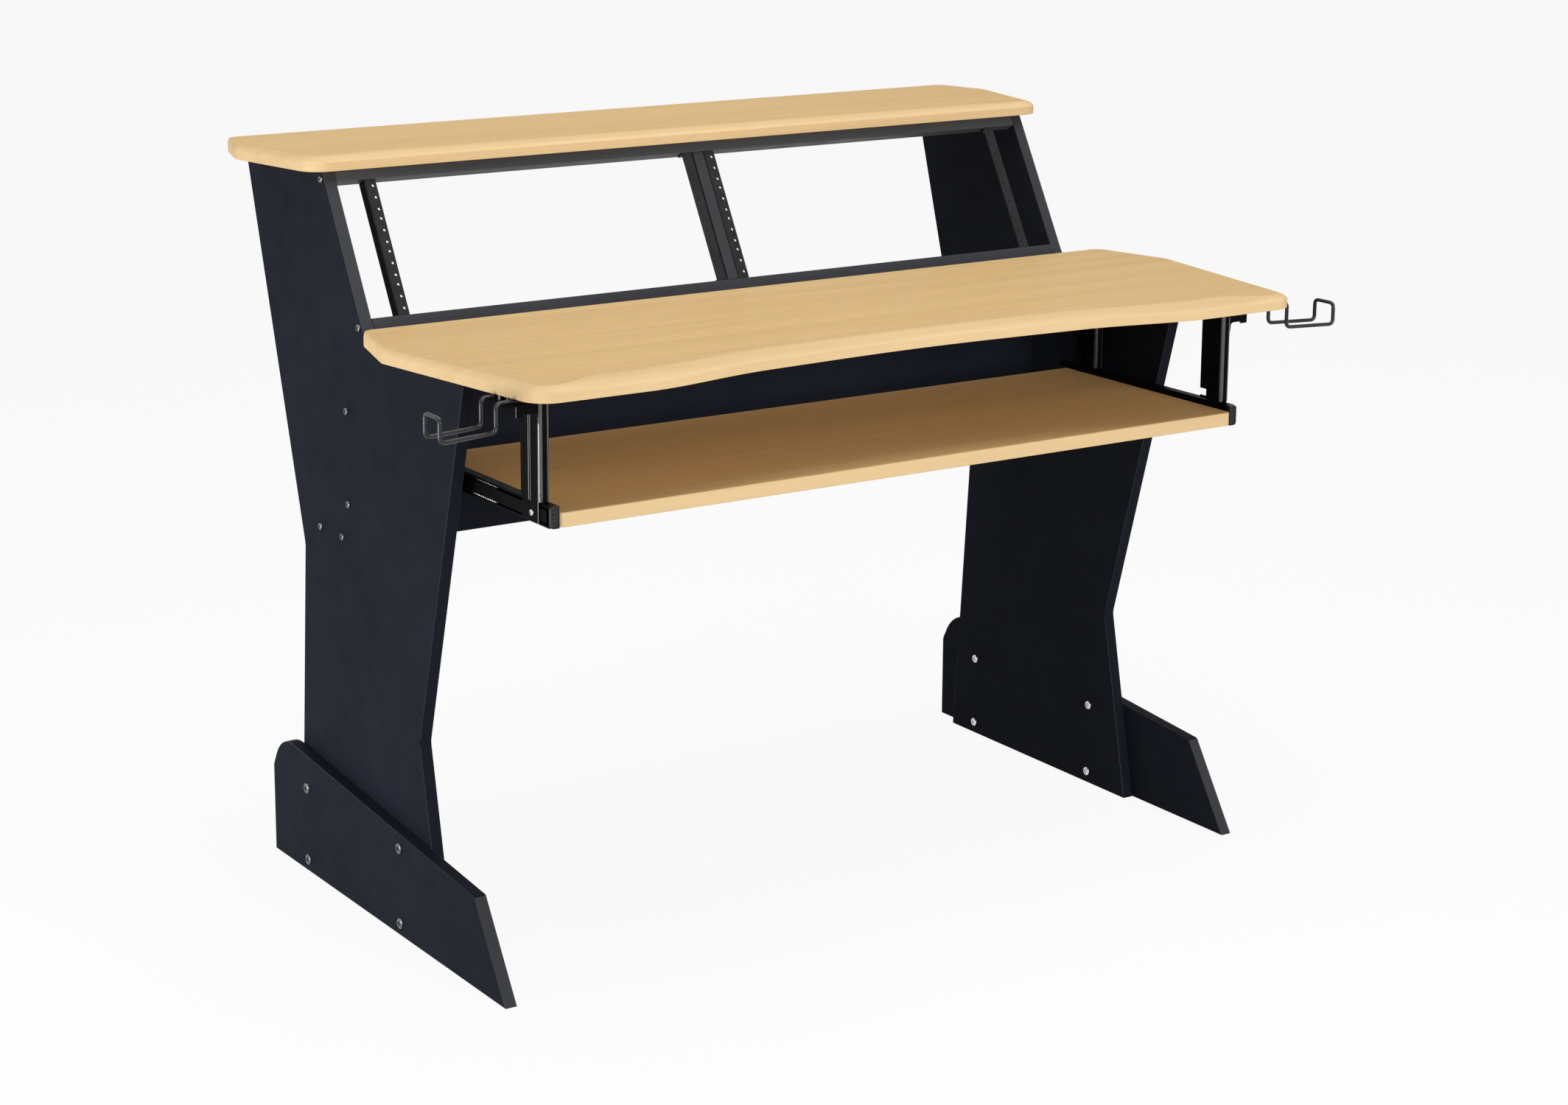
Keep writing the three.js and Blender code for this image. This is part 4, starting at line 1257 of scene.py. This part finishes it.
@dataclass
class Fastener:
    """Screw or bolt with a domed head, a driver's recess and, for a bolt, a domed nut."""

    head_diameter: float
    head_height: float
    shank_diameter: float
    length: float
    recess: Recess
    nut_diameter: float = 0.0
    nut_height: float = 0.0
    recess_share: float = 0.255
    hex_share: float = 0.85
    arm_share: float = 0.28
    taper_share: float = 0.9
    floor_share: float = 0.35
    tip_share: float = 0.5
    dome_shares: tuple[Spot, ...] = (
        (1.0, 0.0), (1.0, 0.35), (0.95, 0.6), (0.84, 0.82), (0.66, 0.96),
    )

    def socket(self, diameter: float) -> list[Spot]:
        """Points of the recess, as many as a circle's and in the same order round.

        Args:
            diameter: the head's diameter.

        Returns:
            The points.
        """
        reach = diameter * self.recess_share
        if self.recess is Recess.HEX:
            side = math.pi / 3
            points = []
            for step in range(CIRCLE_POINTS):
                turn = 2 * math.pi * step / CIRCLE_POINTS
                off = (turn + side / 2) % side - side / 2
                radius = reach * self.hex_share / math.cos(off)
                points.append((radius * math.cos(turn), radius * math.sin(turn)))
            return points
        arm = reach * self.arm_share
        half = (reach + arm) / 2
        quarter = ((reach, 0.0), (reach, arm), (half, arm), (arm, arm), (arm, half), (arm, reach))
        points = []
        for _ in range(4):
            points.extend(quarter)
            quarter = tuple((-y, x) for x, y in quarter)
        return points

    @staticmethod
    def circle(diameter: float) -> list[Spot]:
        """Points of a circle of the fastener."""
        return circle_points(diameter / 2, CIRCLE_POINTS)

    def head(self, diameter: float, height: float, seat: float, sign: int) -> list[Outline]:
        """Rings of a head or a nut from its seat to the floor of its recess.

        Args:
            diameter: the head's diameter.
            height: the head's height.
            seat: place of the seat along the shank.
            sign: +1 for a head, -1 for a nut at the other end.

        Returns:
            The rings.
        """
        def ring(spots: Iterable[Spot], rise: float) -> Outline:
            """Ring at a height above the seat."""
            return [Vector((x, y, seat + sign * rise)) for x, y in spots]

        rings = [ring(self.circle(diameter * wide), height * tall) for wide, tall in self.dome_shares]
        socket = self.socket(diameter)
        rings.append(ring(socket, height))
        floor = [(x * self.taper_share, y * self.taper_share) for x, y in socket]
        rings.append(ring(floor, height * self.floor_share))
        return rings

    def shape(self, point: Vector, axis: Vector) -> bmesh.types.BMesh:
        """Builds the fastener with its head's seat at a point.

        Args:
            point: middle of the seat.
            axis: direction in which the head stands up.

        Returns:
            A new mesh; the head has material number 1, the rest 0.
        """
        shank = self.circle(self.shank_diameter)
        if self.nut_diameter:
            rings = list(reversed(self.head(self.nut_diameter, self.nut_height, -self.length, -1)))
            rings.append([Vector((x, y, -self.length)) for x, y in shank])
        else:
            tip = self.circle(self.shank_diameter * self.tip_share)
            rings = [[Vector((x, y, -self.length)) for x, y in tip]]
            rings.append([Vector((x, y, self.shank_diameter - self.length)) for x, y in shank])
        rings.append([Vector((x, y, 0.0)) for x, y in shank])
        rings.extend(self.head(self.head_diameter, self.head_height, 0.0, 1))
        shape = bmesh.new()
        add_rings(shape, rings)
        for face in shape.faces:
            face.material_index = int(face.calc_center_median().z > -WELD)
        turn = Vector((0.0, 0.0, 1.0)).rotation_difference(axis).to_matrix().to_4x4()
        shape.transform(Matrix.Translation(point) @ turn)
        return shape


@dataclass
class Fixings:
    """Every screw and bolt of the desk, those that have a solid and those that don't."""

    nodes: dict[str, bpy.types.Object]
    palette: Palette
    seat_gap: float = 0.3 * MM
    bolt_shank: float = 7 * MM
    board_shank: float = 5 * MM
    board_head: float = 2.4 * MM
    nut_diameter: float = 12 * MM
    nut_height: float = 2 * MM
    steel_shank: float = 4 * MM
    steel_head: float = 2.2 * MM
    plate_head_diameter: float = 8 * MM
    plate_shares: tuple[float, ...] = (0.32, 0.68)
    channel_wall: float = 1.5 * MM
    small_head_diameter: float = 7 * MM
    tray_head: float = 0.4 * MM
    tray_length: float = 16 * MM
    tray_shares: tuple[float, ...] = (0.07, 0.5, 0.93)
    rail_head: float = 2 * MM
    rail_length: float = 13 * MM
    through_boards: tuple[str, ...] = (
        "modesty_screw_1", "modesty_screw_2", "cable_board_screw_1", "cable_board_screw_2",
        "rack_bar_top_screw_1", "rack_bar_bottom_screw_1",
    )
    made: list[bpy.types.Object] = field(default_factory=list)

    def build(self) -> list[bpy.types.Object]:
        """Builds them all.

        Returns:
            The fasteners.
        """
        for side in Side:
            outward = Vector((side.value, 0.0, 0.0))
            for number in range(1, 5):
                name = f"foot_bolt_{number}_{side.label}"
                self.stand_in(
                    name, outward, Recess.HEX, self.bolt_shank, self.board_head, nut=self.nut_diameter
                )
            for name in self.through_boards:
                self.stand_in(
                    f"{name}_{side.label}", outward, Recess.CROSS, self.board_shank, self.board_head
                )
            for place in ("front", "rear"):
                name = f"slide_screw_{place}_{side.label}"
                self.stand_in(
                    name, outward, Recess.CROSS, self.steel_shank, self.steel_head, bright=True
                )
                self.flange_screws(place, side)
            self.plate_screws(side)
            self.tray_screws(side)
            for column in ("outer", "inner"):
                self.rail_screws(f"rack_rail_{column}_{side.label}")
        return self.made

    def add(
        self, piece: Piece, fastener: Fastener, seat: Vector, axis: Vector, bright: bool = False
    ) -> None:
        """Builds one fastener and notes it.

        Args:
            piece: its name, slot and body.
            fastener: its sizes.
            seat: middle of the head's seat.
            axis: direction in which the head stands up.
            bright: whether the head is bright zinc.
        """
        # Heads that are not bright, and the shanks of such screws, get the darker zinc: painted shade for the
        # dark surroundings they reflect.
        shank = self.palette.zinc if bright or fastener.nut_diameter else self.palette.head
        head = self.palette.zinc if bright else self.palette.head
        self.made.append(piece.place(fastener.shape(seat, axis), (shank, head)))

    def stand_in(
        self,
        name: str,
        axis: Vector,
        recess: Recess,
        shank: float,
        head: float,
        nut: float = 0.0,
        bright: bool = False,
    ) -> None:
        """Builds a fastener in place of its plain solid, from that solid's box.

        Args:
            name: node of the plain solid.
            axis: direction in which the head stands up.
            recess: shape of the driver's recess.
            shank: diameter of the shank.
            head: height of the head.
            nut: diameter of the nut, or zero for a screw.
            bright: whether the head is bright zinc.
        """
        low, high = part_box(name)
        middle = (low + high) / 2
        size = high - low
        along = max(range(3), key=lambda index: abs(axis[index]))
        across = max(size[index] for index in range(3) if index != along)
        tip = middle + axis * (size[along] / 2)
        nut_height = self.nut_height if nut else 0.0
        length = size[along] - head - nut_height
        fastener = Fastener(across, head, shank, length, recess, nut, nut_height)
        piece = Piece(f"{name}_zinc", Slot.ZINC, stands_for=(name,))
        self.add(piece, fastener, tip - axis * head, axis, bright)

    def flange_screws(self, place: str, side: Side) -> None:
        """Builds both screws of a hanger's top flange; only the first one has a solid.

        Args:
            place: "front" or "rear".
            side: half of the desk that the hanger is in.
        """
        down = Vector((0.0, 0.0, -1.0))
        name = f"hanger_screw_{place}_{side.label}"
        self.stand_in(name, down, Recess.CROSS, self.steel_shank, self.steel_head)
        low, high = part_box(name)
        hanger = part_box(f"hanger_{place}_{side.label}")
        second_y = hanger[0].y + hanger[1].y - (low.y + high.y) / 2
        seat = Vector(((low.x + high.x) / 2, second_y, low.z + self.steel_head))
        length = high.z - low.z - self.steel_head
        fastener = Fastener(high.y - low.y, self.steel_head, self.steel_shank, length, Recess.CROSS)
        self.add(Piece(f"hanger_screw_{place}_second_{side.label}", Slot.ZINC), fastener, seat, down)

    def plate_screws(self, side: Side) -> None:
        """Builds the two screws that hold a hook's plate up against the worktop.

        Args:
            side: half of the desk that the hook is in.
        """
        down = Vector((0.0, 0.0, -1.0))
        low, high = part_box(f"hook_plate_{side.label}")
        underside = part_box("worktop")[0].z
        for number, share in enumerate(self.plate_shares, start=1):
            seat = Vector(((low.x + high.x) / 2, low.y + (high.y - low.y) * share, low.z - self.seat_gap))
            length = underside - seat.z - self.seat_gap
            fastener = Fastener(
                self.plate_head_diameter, self.steel_head, self.steel_shank, length, Recess.CROSS
            )
            self.add(Piece(f"hook_plate_screw_{number}_{side.label}", Slot.ZINC), fastener, seat, down)

    def tray_screws(self, side: Side) -> None:
        """Builds the three flat screws that hold a slide's channel to the edge of the tray.

        Args:
            side: half of the desk that the slide is in.
        """
        outward = Vector((side.value, 0.0, 0.0))
        low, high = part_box(f"slide_channel_{side.label}")
        tray_low, tray_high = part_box("keyboard_tray")
        web = (low.x if side is Side.RIGHT else high.x) + side.value * self.channel_wall
        for number, share in enumerate(self.tray_shares, start=1):
            seat = Vector((web, low.y + (high.y - low.y) * share, (tray_low.z + tray_high.z) / 2))
            fastener = Fastener(
                self.small_head_diameter, self.tray_head, self.steel_shank, self.tray_length, Recess.CROSS
            )
            piece = Piece(f"tray_screw_{number}_{side.label}", Slot.ZINC, TRAY_BODY)
            self.add(piece, fastener, seat, outward)

    def rail_screws(self, name: str) -> None:
        """Builds the two screws through a rail's end tabs into the bars.

        Args:
            name: node of the rail.
        """
        rack = RackFront()
        place = rack.to_frame(self.nodes)
        low, high = rack.local_box(self.nodes[name], place)
        slope = place.to_3x3()
        for end, height in ((1, high.z - rack.sheet), (-1, low.z + rack.sheet)):
            seat = place @ Vector(((low.x + high.x) / 2, (low.y + high.y) / 2, height))
            fastener = Fastener(
                self.small_head_diameter, self.rail_head, self.steel_shank, self.rail_length, Recess.CROSS
            )
            piece = Piece(f"{name}_screw_{'top' if end > 0 else 'bottom'}", Slot.ZINC)
            self.add(piece, fastener, seat, slope @ Vector((0.0, 0.0, -end)))


@dataclass
class SlideRun:
    """Ball-bearing slide of one side with its hangers: channel, cage, balls, runner and end cap."""

    side: Side
    ball_diameter: float = 4.1 * MM
    ball_pitch: float = 5.6 * MM
    race_inset: float = 1.25 * MM
    edge_inset: float = -0.6 * MM
    slide_arris: float = 0.3 * MM
    cage_arris: float = 0.2 * MM
    hanger_arris: float = 0.6 * MM
    shortest_arrises: float = 3.0
    cap_radius: float = 4 * MM
    cap_least_radius: float = 1 * MM
    cap_near_share: float = 0.5
    cap_floor: float = 1.4 * MM
    cap_rim: float = 1.3 * MM
    cap_arris: float = 0.6 * MM
    cap_arris_bend: float = 0.2 * MM
    cap_lip: float = 0.3 * MM
    cap_steps: int = 6
    cap_ribs: int = 4
    rib_width: float = 1.2 * MM
    rib_root: float = 0.4 * MM
    rib_near_share: float = 0.6
    rib_far_share: float = 0.9

    @property
    def cage_body(self) -> str:
        """Body that the ball cage of this side rides on."""
        return f"cage_{self.side.label}"

    def build(self, nodes: dict[str, bpy.types.Object], palette: Palette) -> list[bpy.types.Object]:
        """Builds the slide's pieces and its hangers.

        Args:
            nodes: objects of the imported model.
            palette: the finishes.

        Returns:
            The pieces.
        """
        label = self.side.label
        rows = (
            (f"slide_channel_{label}", Slot.SLIDE, TRAY_BODY, palette.slide, self.slide_arris),
            (f"slide_runner_{label}", Slot.SLIDE, FRAME_BODY, palette.slide, self.slide_arris),
            (f"slide_cage_{label}", Slot.CAGE, self.cage_body, palette.cage, self.cage_arris),
            (f"hanger_front_{label}", Slot.STEEL, FRAME_BODY, palette.hanger, self.hanger_arris),
            (f"hanger_rear_{label}", Slot.STEEL, FRAME_BODY, palette.hanger, self.hanger_arris),
        )
        pieces = []
        for name, slot, body, finish, width in rows:
            shape = solid_of(nodes[name])
            soften(shape, width, segments=2, shortest=self.shortest_arrises * width)
            # Upright corners of the hangers get the lighter, glossier coat: painted highlight lines.
            if slot is Slot.STEEL:
                paint_corners(shape)
            pieces.append(Piece(f"{name}_steel", slot, body, (name,)).place(shape, (finish, palette.shine)))
        pieces.append(self.balls(palette))
        pieces.append(self.cap(palette))
        return pieces

    def balls(self, palette: Palette) -> bpy.types.Object:
        """Builds the two rows of balls in the cage, which roll on the channel's and the runner's races.

        Args:
            palette: the finishes.

        Returns:
            The balls, as one piece.
        """
        low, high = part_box(f"slide_cage_{self.side.label}")
        outer_x = high.x if self.side is Side.RIGHT else low.x
        x = outer_x - self.side.value * (self.edge_inset + self.ball_diameter / 2)
        count = int((high.y - low.y - self.ball_pitch) / self.ball_pitch) + 1
        start = (low.y + high.y - (count - 1) * self.ball_pitch) / 2
        shape = bmesh.new()
        for z in (low.z + self.race_inset, high.z - self.race_inset):
            for number in range(count):
                spot = Matrix.Translation((x, start + number * self.ball_pitch, z))
                bmesh.ops.create_icosphere(shape, subdivisions=2, radius=self.ball_diameter / 2, matrix=spot)
        piece = Piece(f"slide_balls_{self.side.label}", Slot.CAGE, self.cage_body)
        return piece.place(shape, (palette.ball,), smooth=math.pi)

    def cap(self, palette: Palette) -> bpy.types.Object:
        """Builds the end cap: a rounded plug with a raised rim and cross ribs on its front.

        Args:
            palette: the finishes.

        Returns:
            The cap.
        """
        name = f"slide_cap_{self.side.label}"
        low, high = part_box(name)
        sign = self.side.value
        near, far = (low.x, high.x) if sign > 0 else (high.x, low.x)
        floor, rim, lip, bend = self.cap_floor, self.cap_rim, self.cap_lip, self.cap_arris_bend

        def outline(inset: float, depth: float) -> Outline:
            """Outline of the cap.

            Args:
                inset: how far it is moved in from the cap's edge.
                depth: how far it lies behind the cap's front.

            Returns:
                The points.
            """
            edge = near + sign * inset * self.cap_near_share
            end = far - sign * inset
            base, top = low.z + inset, high.z - inset
            radius = max(self.cap_radius - inset, self.cap_least_radius)
            corners = [Vector(spot) for spot in ((edge, base), (end, base), (end, top), (edge, top))]
            lower = arc_corner(*corners[:3], radius, self.cap_steps)
            upper = arc_corner(*corners[1:], radius, self.cap_steps)
            flat = [corners[0], *lower, *upper, corners[3]]
            return [Vector((point.x, low.y + depth, point.y)) for point in flat]

        shape = bmesh.new()
        rings = [
            outline(0.0, high.y - low.y), outline(0.0, self.cap_arris), outline(bend, bend),
            outline(self.cap_arris, 0.0), outline(rim - lip, 0.0), outline(rim, lip), outline(rim, floor),
        ]
        add_rings(shape, rings)
        for number in range(1, self.cap_ribs + 1):
            middle = low.z + (high.z - low.z) * number / (self.cap_ribs + 1)
            left, right = sorted(
                (near + sign * rim * self.rib_near_share, far - sign * rim * self.rib_far_share)
            )
            add_box(
                shape,
                (left, low.y + lip, middle - self.rib_width / 2),
                (right, low.y + floor + self.rib_root, middle + self.rib_width / 2),
            )
        piece = Piece(f"{name}_plastic", Slot.PLASTIC, TRAY_BODY, (name,))
        return piece.place(shape, (palette.plastic,))


@dataclass
class HeadphoneHook:
    """Bent wire hook under one front corner, with the plate that clamps its two ends."""

    side: Side
    wire: float = 5 * MM
    bend: float = 7 * MM
    spread: float = 35 * MM
    tail: float = 40 * MM
    arm: float = 75 * MM
    arm_fall: float = 2 * MM
    arm_forward: float = 8 * MM
    tip_rise: float = 28 * MM
    drop: float = 33 * MM
    bend_steps: int = 7
    wire_gap: float = 0.3 * MM
    plate_arris: float = 0.4 * MM
    smooth_angle: float = math.radians(60)

    def path(self) -> list[Vector]:
        """Centre line of the wire, on the route of the plain solid.

        Returns:
            The points from one end of the wire to the other.
        """
        low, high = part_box(f"hook_wire_{self.side.label}")
        tip = max(abs(low.x), abs(high.x)) - self.wire / 2
        leg = tip - self.arm
        wire_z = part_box("worktop")[0].z - self.wire_gap - self.wire / 2
        arm_z = wire_z - self.drop
        middle_y = low.y + self.wire / 2 + self.arm_forward + self.spread / 2
        tip_z = arm_z - self.arm_fall
        corners: list[Vector] = []
        for turn in (-1, 1):
            y = middle_y + turn * self.spread / 2
            strand = [
                Vector((leg - self.tail, y, wire_z)),
                Vector((leg, y, wire_z)),
                Vector((leg, y, arm_z)),
                Vector((tip, y - self.arm_forward, tip_z)),
                Vector((tip, y - self.arm_forward, tip_z + self.tip_rise)),
            ]
            corners.extend(strand if turn < 0 else reversed(strand))
        points = [corners[0]]
        for before, corner, after in zip(corners, corners[1:], corners[2:]):
            start = corner + (before - corner).normalized() * self.bend
            end = corner + (after - corner).normalized() * self.bend
            for step in range(self.bend_steps + 1):
                share = step / self.bend_steps
                points.append(start * (1 - share) ** 2 + corner * (2 * share * (1 - share)) + end * share**2)
        points.append(corners[-1])
        return [Vector((self.side.value * point.x, point.y, point.z)) for point in points]

    def build(self, nodes: dict[str, bpy.types.Object], palette: Palette) -> list[bpy.types.Object]:
        """Builds the wire and its plate.

        Args:
            nodes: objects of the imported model.
            palette: the finishes.

        Returns:
            The two pieces.
        """
        wire_name, plate_name = f"hook_wire_{self.side.label}", f"hook_plate_{self.side.label}"
        shape = bmesh.new()
        add_rings(shape, ring_sweep(self.path(), self.wire / 2, sides=20))
        wire = Piece(f"{wire_name}_bent", Slot.WIRE, stands_for=(wire_name,))
        plate = solid_of(nodes[plate_name])
        soften(plate, self.plate_arris)
        clamp = Piece(f"{plate_name}_steel", Slot.STEEL, stands_for=(plate_name,))
        return [
            wire.place(shape, (palette.wire,), smooth=self.smooth_angle),
            clamp.place(plate, (palette.hanger,)),
        ]


@dataclass
class Studio:
    """Camera close to the photograph's, a pale floor and soft lamps."""

    picture_width: float = 2128.0
    picture_height: float = 1500.0
    focal_px: float = 4270.1
    centre_px: tuple[float, float] = (960.0, 537.0)
    azimuth: float = math.radians(32.3456)
    elevation: float = math.radians(12.1711)
    roll: float = math.radians(0.0955)
    place: Triple = (-2.2299, -3.3841, 1.4953)
    sensor: float = 36.0

    def camera(self) -> None:
        """Adds the camera and makes it the scene's own."""
        data = bpy.data.cameras.new("photo_camera")
        data.sensor_width = self.sensor
        data.lens = self.focal_px / self.picture_width * self.sensor
        data.shift_x = (self.picture_width / 2 - self.centre_px[0]) / self.picture_width
        data.shift_y = (self.centre_px[1] - self.picture_height / 2) / self.picture_width
        data.clip_start, data.clip_end = 0.05, 60.0
        flat = math.cos(self.elevation)
        side, front = math.sin(self.azimuth) * flat, math.cos(self.azimuth) * flat
        back = Vector((-side, -front, math.sin(self.elevation)))
        right = Vector((0.0, 0.0, 1.0)).cross(back).normalized()
        up = back.cross(right)
        turned_right = right * math.cos(self.roll) + up * math.sin(self.roll)
        turned_up = up * math.cos(self.roll) - right * math.sin(self.roll)
        axes = Matrix((turned_right, turned_up, back)).transposed().to_4x4()
        camera = bpy.data.objects.new("photo_camera", data)
        camera.matrix_world = Matrix.Translation(self.place) @ axes
        bpy.context.scene.collection.objects.link(camera)
        bpy.context.scene.camera = camera

    def lamp(self, name: str, place: Triple, aim: Triple, size: Spot, watts: float) -> None:
        """Adds a soft rectangular lamp.

        Args:
            name: the lamp's name.
            place: where it hangs.
            aim: point that it faces.
            size: its width and height.
            watts: its power.
        """
        data = bpy.data.lights.new(name, "AREA")
        data.shape = "RECTANGLE"
        data.size, data.size_y = size
        data.energy = watts
        lamp = bpy.data.objects.new(name, data)
        lamp.location = place
        lamp.rotation_euler = (Vector(aim) - Vector(place)).to_track_quat("-Z", "Y").to_euler()
        bpy.context.scene.collection.objects.link(lamp)

    def white_to_the_eye(self, tree: bpy.types.NodeTree, seen_share: float) -> bpy.types.NodeSocket:
        """Value for what the eye sees, also by gloss or through glass; it is zero for other rays.

        Args:
            tree: node tree that the nodes are added to.
            seen_share: the value for the rays that the eye sees.

        Returns:
            The value.
        """
        rays = tree.nodes.new("ShaderNodeLightPath")
        seen = rays.outputs["Is Camera Ray"]
        for kind in ("Is Glossy Ray", "Is Transmission Ray"):
            total = tree.nodes.new("ShaderNodeMath")
            total.operation = "ADD"
            total.use_clamp = True
            tree.links.new(seen, total.inputs[0])
            tree.links.new(rays.outputs[kind], total.inputs[1])
            seen = total.outputs[0]
        scaled = tree.nodes.new("ShaderNodeMath")
        scaled.operation = "MULTIPLY"
        scaled.inputs[1].default_value = seen_share
        tree.links.new(seen, scaled.inputs[0])
        return scaled.outputs[0]

    def world(self, ambient: float) -> None:
        """Sets a world that is white to the eye and lights the desk evenly.

        Args:
            ambient: strength of its light.
        """
        world = bpy.data.worlds.new("studio_world")
        world.use_nodes = True
        tree = world.node_tree
        tree.nodes.clear()
        light = tree.nodes.new("ShaderNodeBackground")
        light.inputs["Color"].default_value = WHITE
        light.inputs["Strength"].default_value = ambient
        seen = tree.nodes.new("ShaderNodeBackground")
        seen.inputs["Color"].default_value = WHITE
        mix = tree.nodes.new("ShaderNodeMixShader")
        out = tree.nodes.new("ShaderNodeOutputWorld")
        tree.links.new(self.white_to_the_eye(tree, 1.0), mix.inputs[0])
        tree.links.new(light.outputs[0], mix.inputs[1])
        tree.links.new(seen.outputs[0], mix.inputs[2])
        tree.links.new(mix.outputs[0], out.inputs[0])
        bpy.context.scene.world = world

    def floor(self, size: float = 60.0, seen_share: float = 0.92, grey: float = 0.9) -> None:
        """Adds a pale floor that keeps a soft shadow.

        Args:
            size: length of its side.
            seen_share: share of plain white that the eye sees on it.
            grey: its colour under the lamps, from 0 to 1.
        """
        mesh = bpy.data.meshes.new("floor")
        half = size / 2
        corners = [(-half, -half, 0.0), (half, -half, 0.0), (half, half, 0.0), (-half, half, 0.0)]
        mesh.from_pydata(corners, [], [(0, 1, 2, 3)])
        floor = bpy.data.objects.new("floor", mesh)
        bpy.context.scene.collection.objects.link(floor)
        material = bpy.data.materials.new("floor_paint")
        material.use_nodes = True
        tree = material.node_tree
        tree.nodes.clear()
        matt = tree.nodes.new("ShaderNodeBsdfDiffuse")
        matt.inputs["Color"].default_value = (grey, grey, grey, 1.0)
        white = tree.nodes.new("ShaderNodeEmission")
        white.inputs["Strength"].default_value = 1.0
        mix = tree.nodes.new("ShaderNodeMixShader")
        out = tree.nodes.new("ShaderNodeOutputMaterial")
        tree.links.new(self.white_to_the_eye(tree, seen_share), mix.inputs[0])
        tree.links.new(matt.outputs[0], mix.inputs[1])
        tree.links.new(white.outputs[0], mix.inputs[2])
        tree.links.new(mix.outputs[0], out.inputs[0])
        mesh.materials.append(material)

    def build(self) -> None:
        """Sets the camera, the world, the floor and the lamps."""
        bpy.context.scene.view_settings.view_transform = "Standard"
        self.camera()
        self.world(ambient=0.19)
        self.floor()
        self.lamp("key_front", place=(-0.2, -5.0, 1.6), aim=(0.0, 0.0, 0.6), size=(2.4, 1.8), watts=136.0)
        self.lamp("side_left", place=(-2.4, 0.1, 0.25), aim=(-0.5, 0.09, 0.2), size=(0.7, 0.5), watts=24.0)
        self.lamp("top_soft", place=(-0.2, -0.4, 3.6), aim=(0.0, 0.0, 0.7), size=(3.0, 2.2), watts=70.0)


def main() -> None:
    """Builds the desk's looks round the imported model."""
    logging.basicConfig(level=logging.INFO, format="%(name)s: %(message)s")
    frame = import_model()
    nodes = frame["nodes"]
    Studio().build()
    palette = Palette()
    worktop = TopBoard(
        "worktop",
        rear_overhang=24.7 * MM,
        wide_overhang=56 * MM,
        front_overhang=13.5 * MM,
        wide_setback=302 * MM,
        corner_radius=34 * MM,
        nose=NoseDepths(rear=2 * MM, side=5 * MM, corner=14 * MM, front=38 * MM, middle=30 * MM),
        hollow=FrontHollow(),
    )
    shelf = TopBoard(
        "shelf_top",
        rear_overhang=27 * MM,
        wide_overhang=51 * MM,
        front_overhang=23 * MM,
        wide_setback=166 * MM,
        corner_radius=31 * MM,
        nose=NoseDepths(rear=2 * MM, side=5 * MM, corner=14 * MM, front=22 * MM, middle=22 * MM),
    )
    pieces = [worktop.build(palette), shelf.build(palette), KeyboardTray().build(palette)]
    pieces.extend(Carcass().build(nodes, palette))
    pieces.extend(RackFront().build(nodes, palette))
    for side in Side:
        pieces.extend(SlideRun(side).build(nodes, palette))
        pieces.extend(HeadphoneHook(side).build(nodes, palette))
    pieces.extend(Fixings(nodes, palette).build())
    log.info("%d pieces in all", len(pieces))


if __name__ == "__main__":
    main()
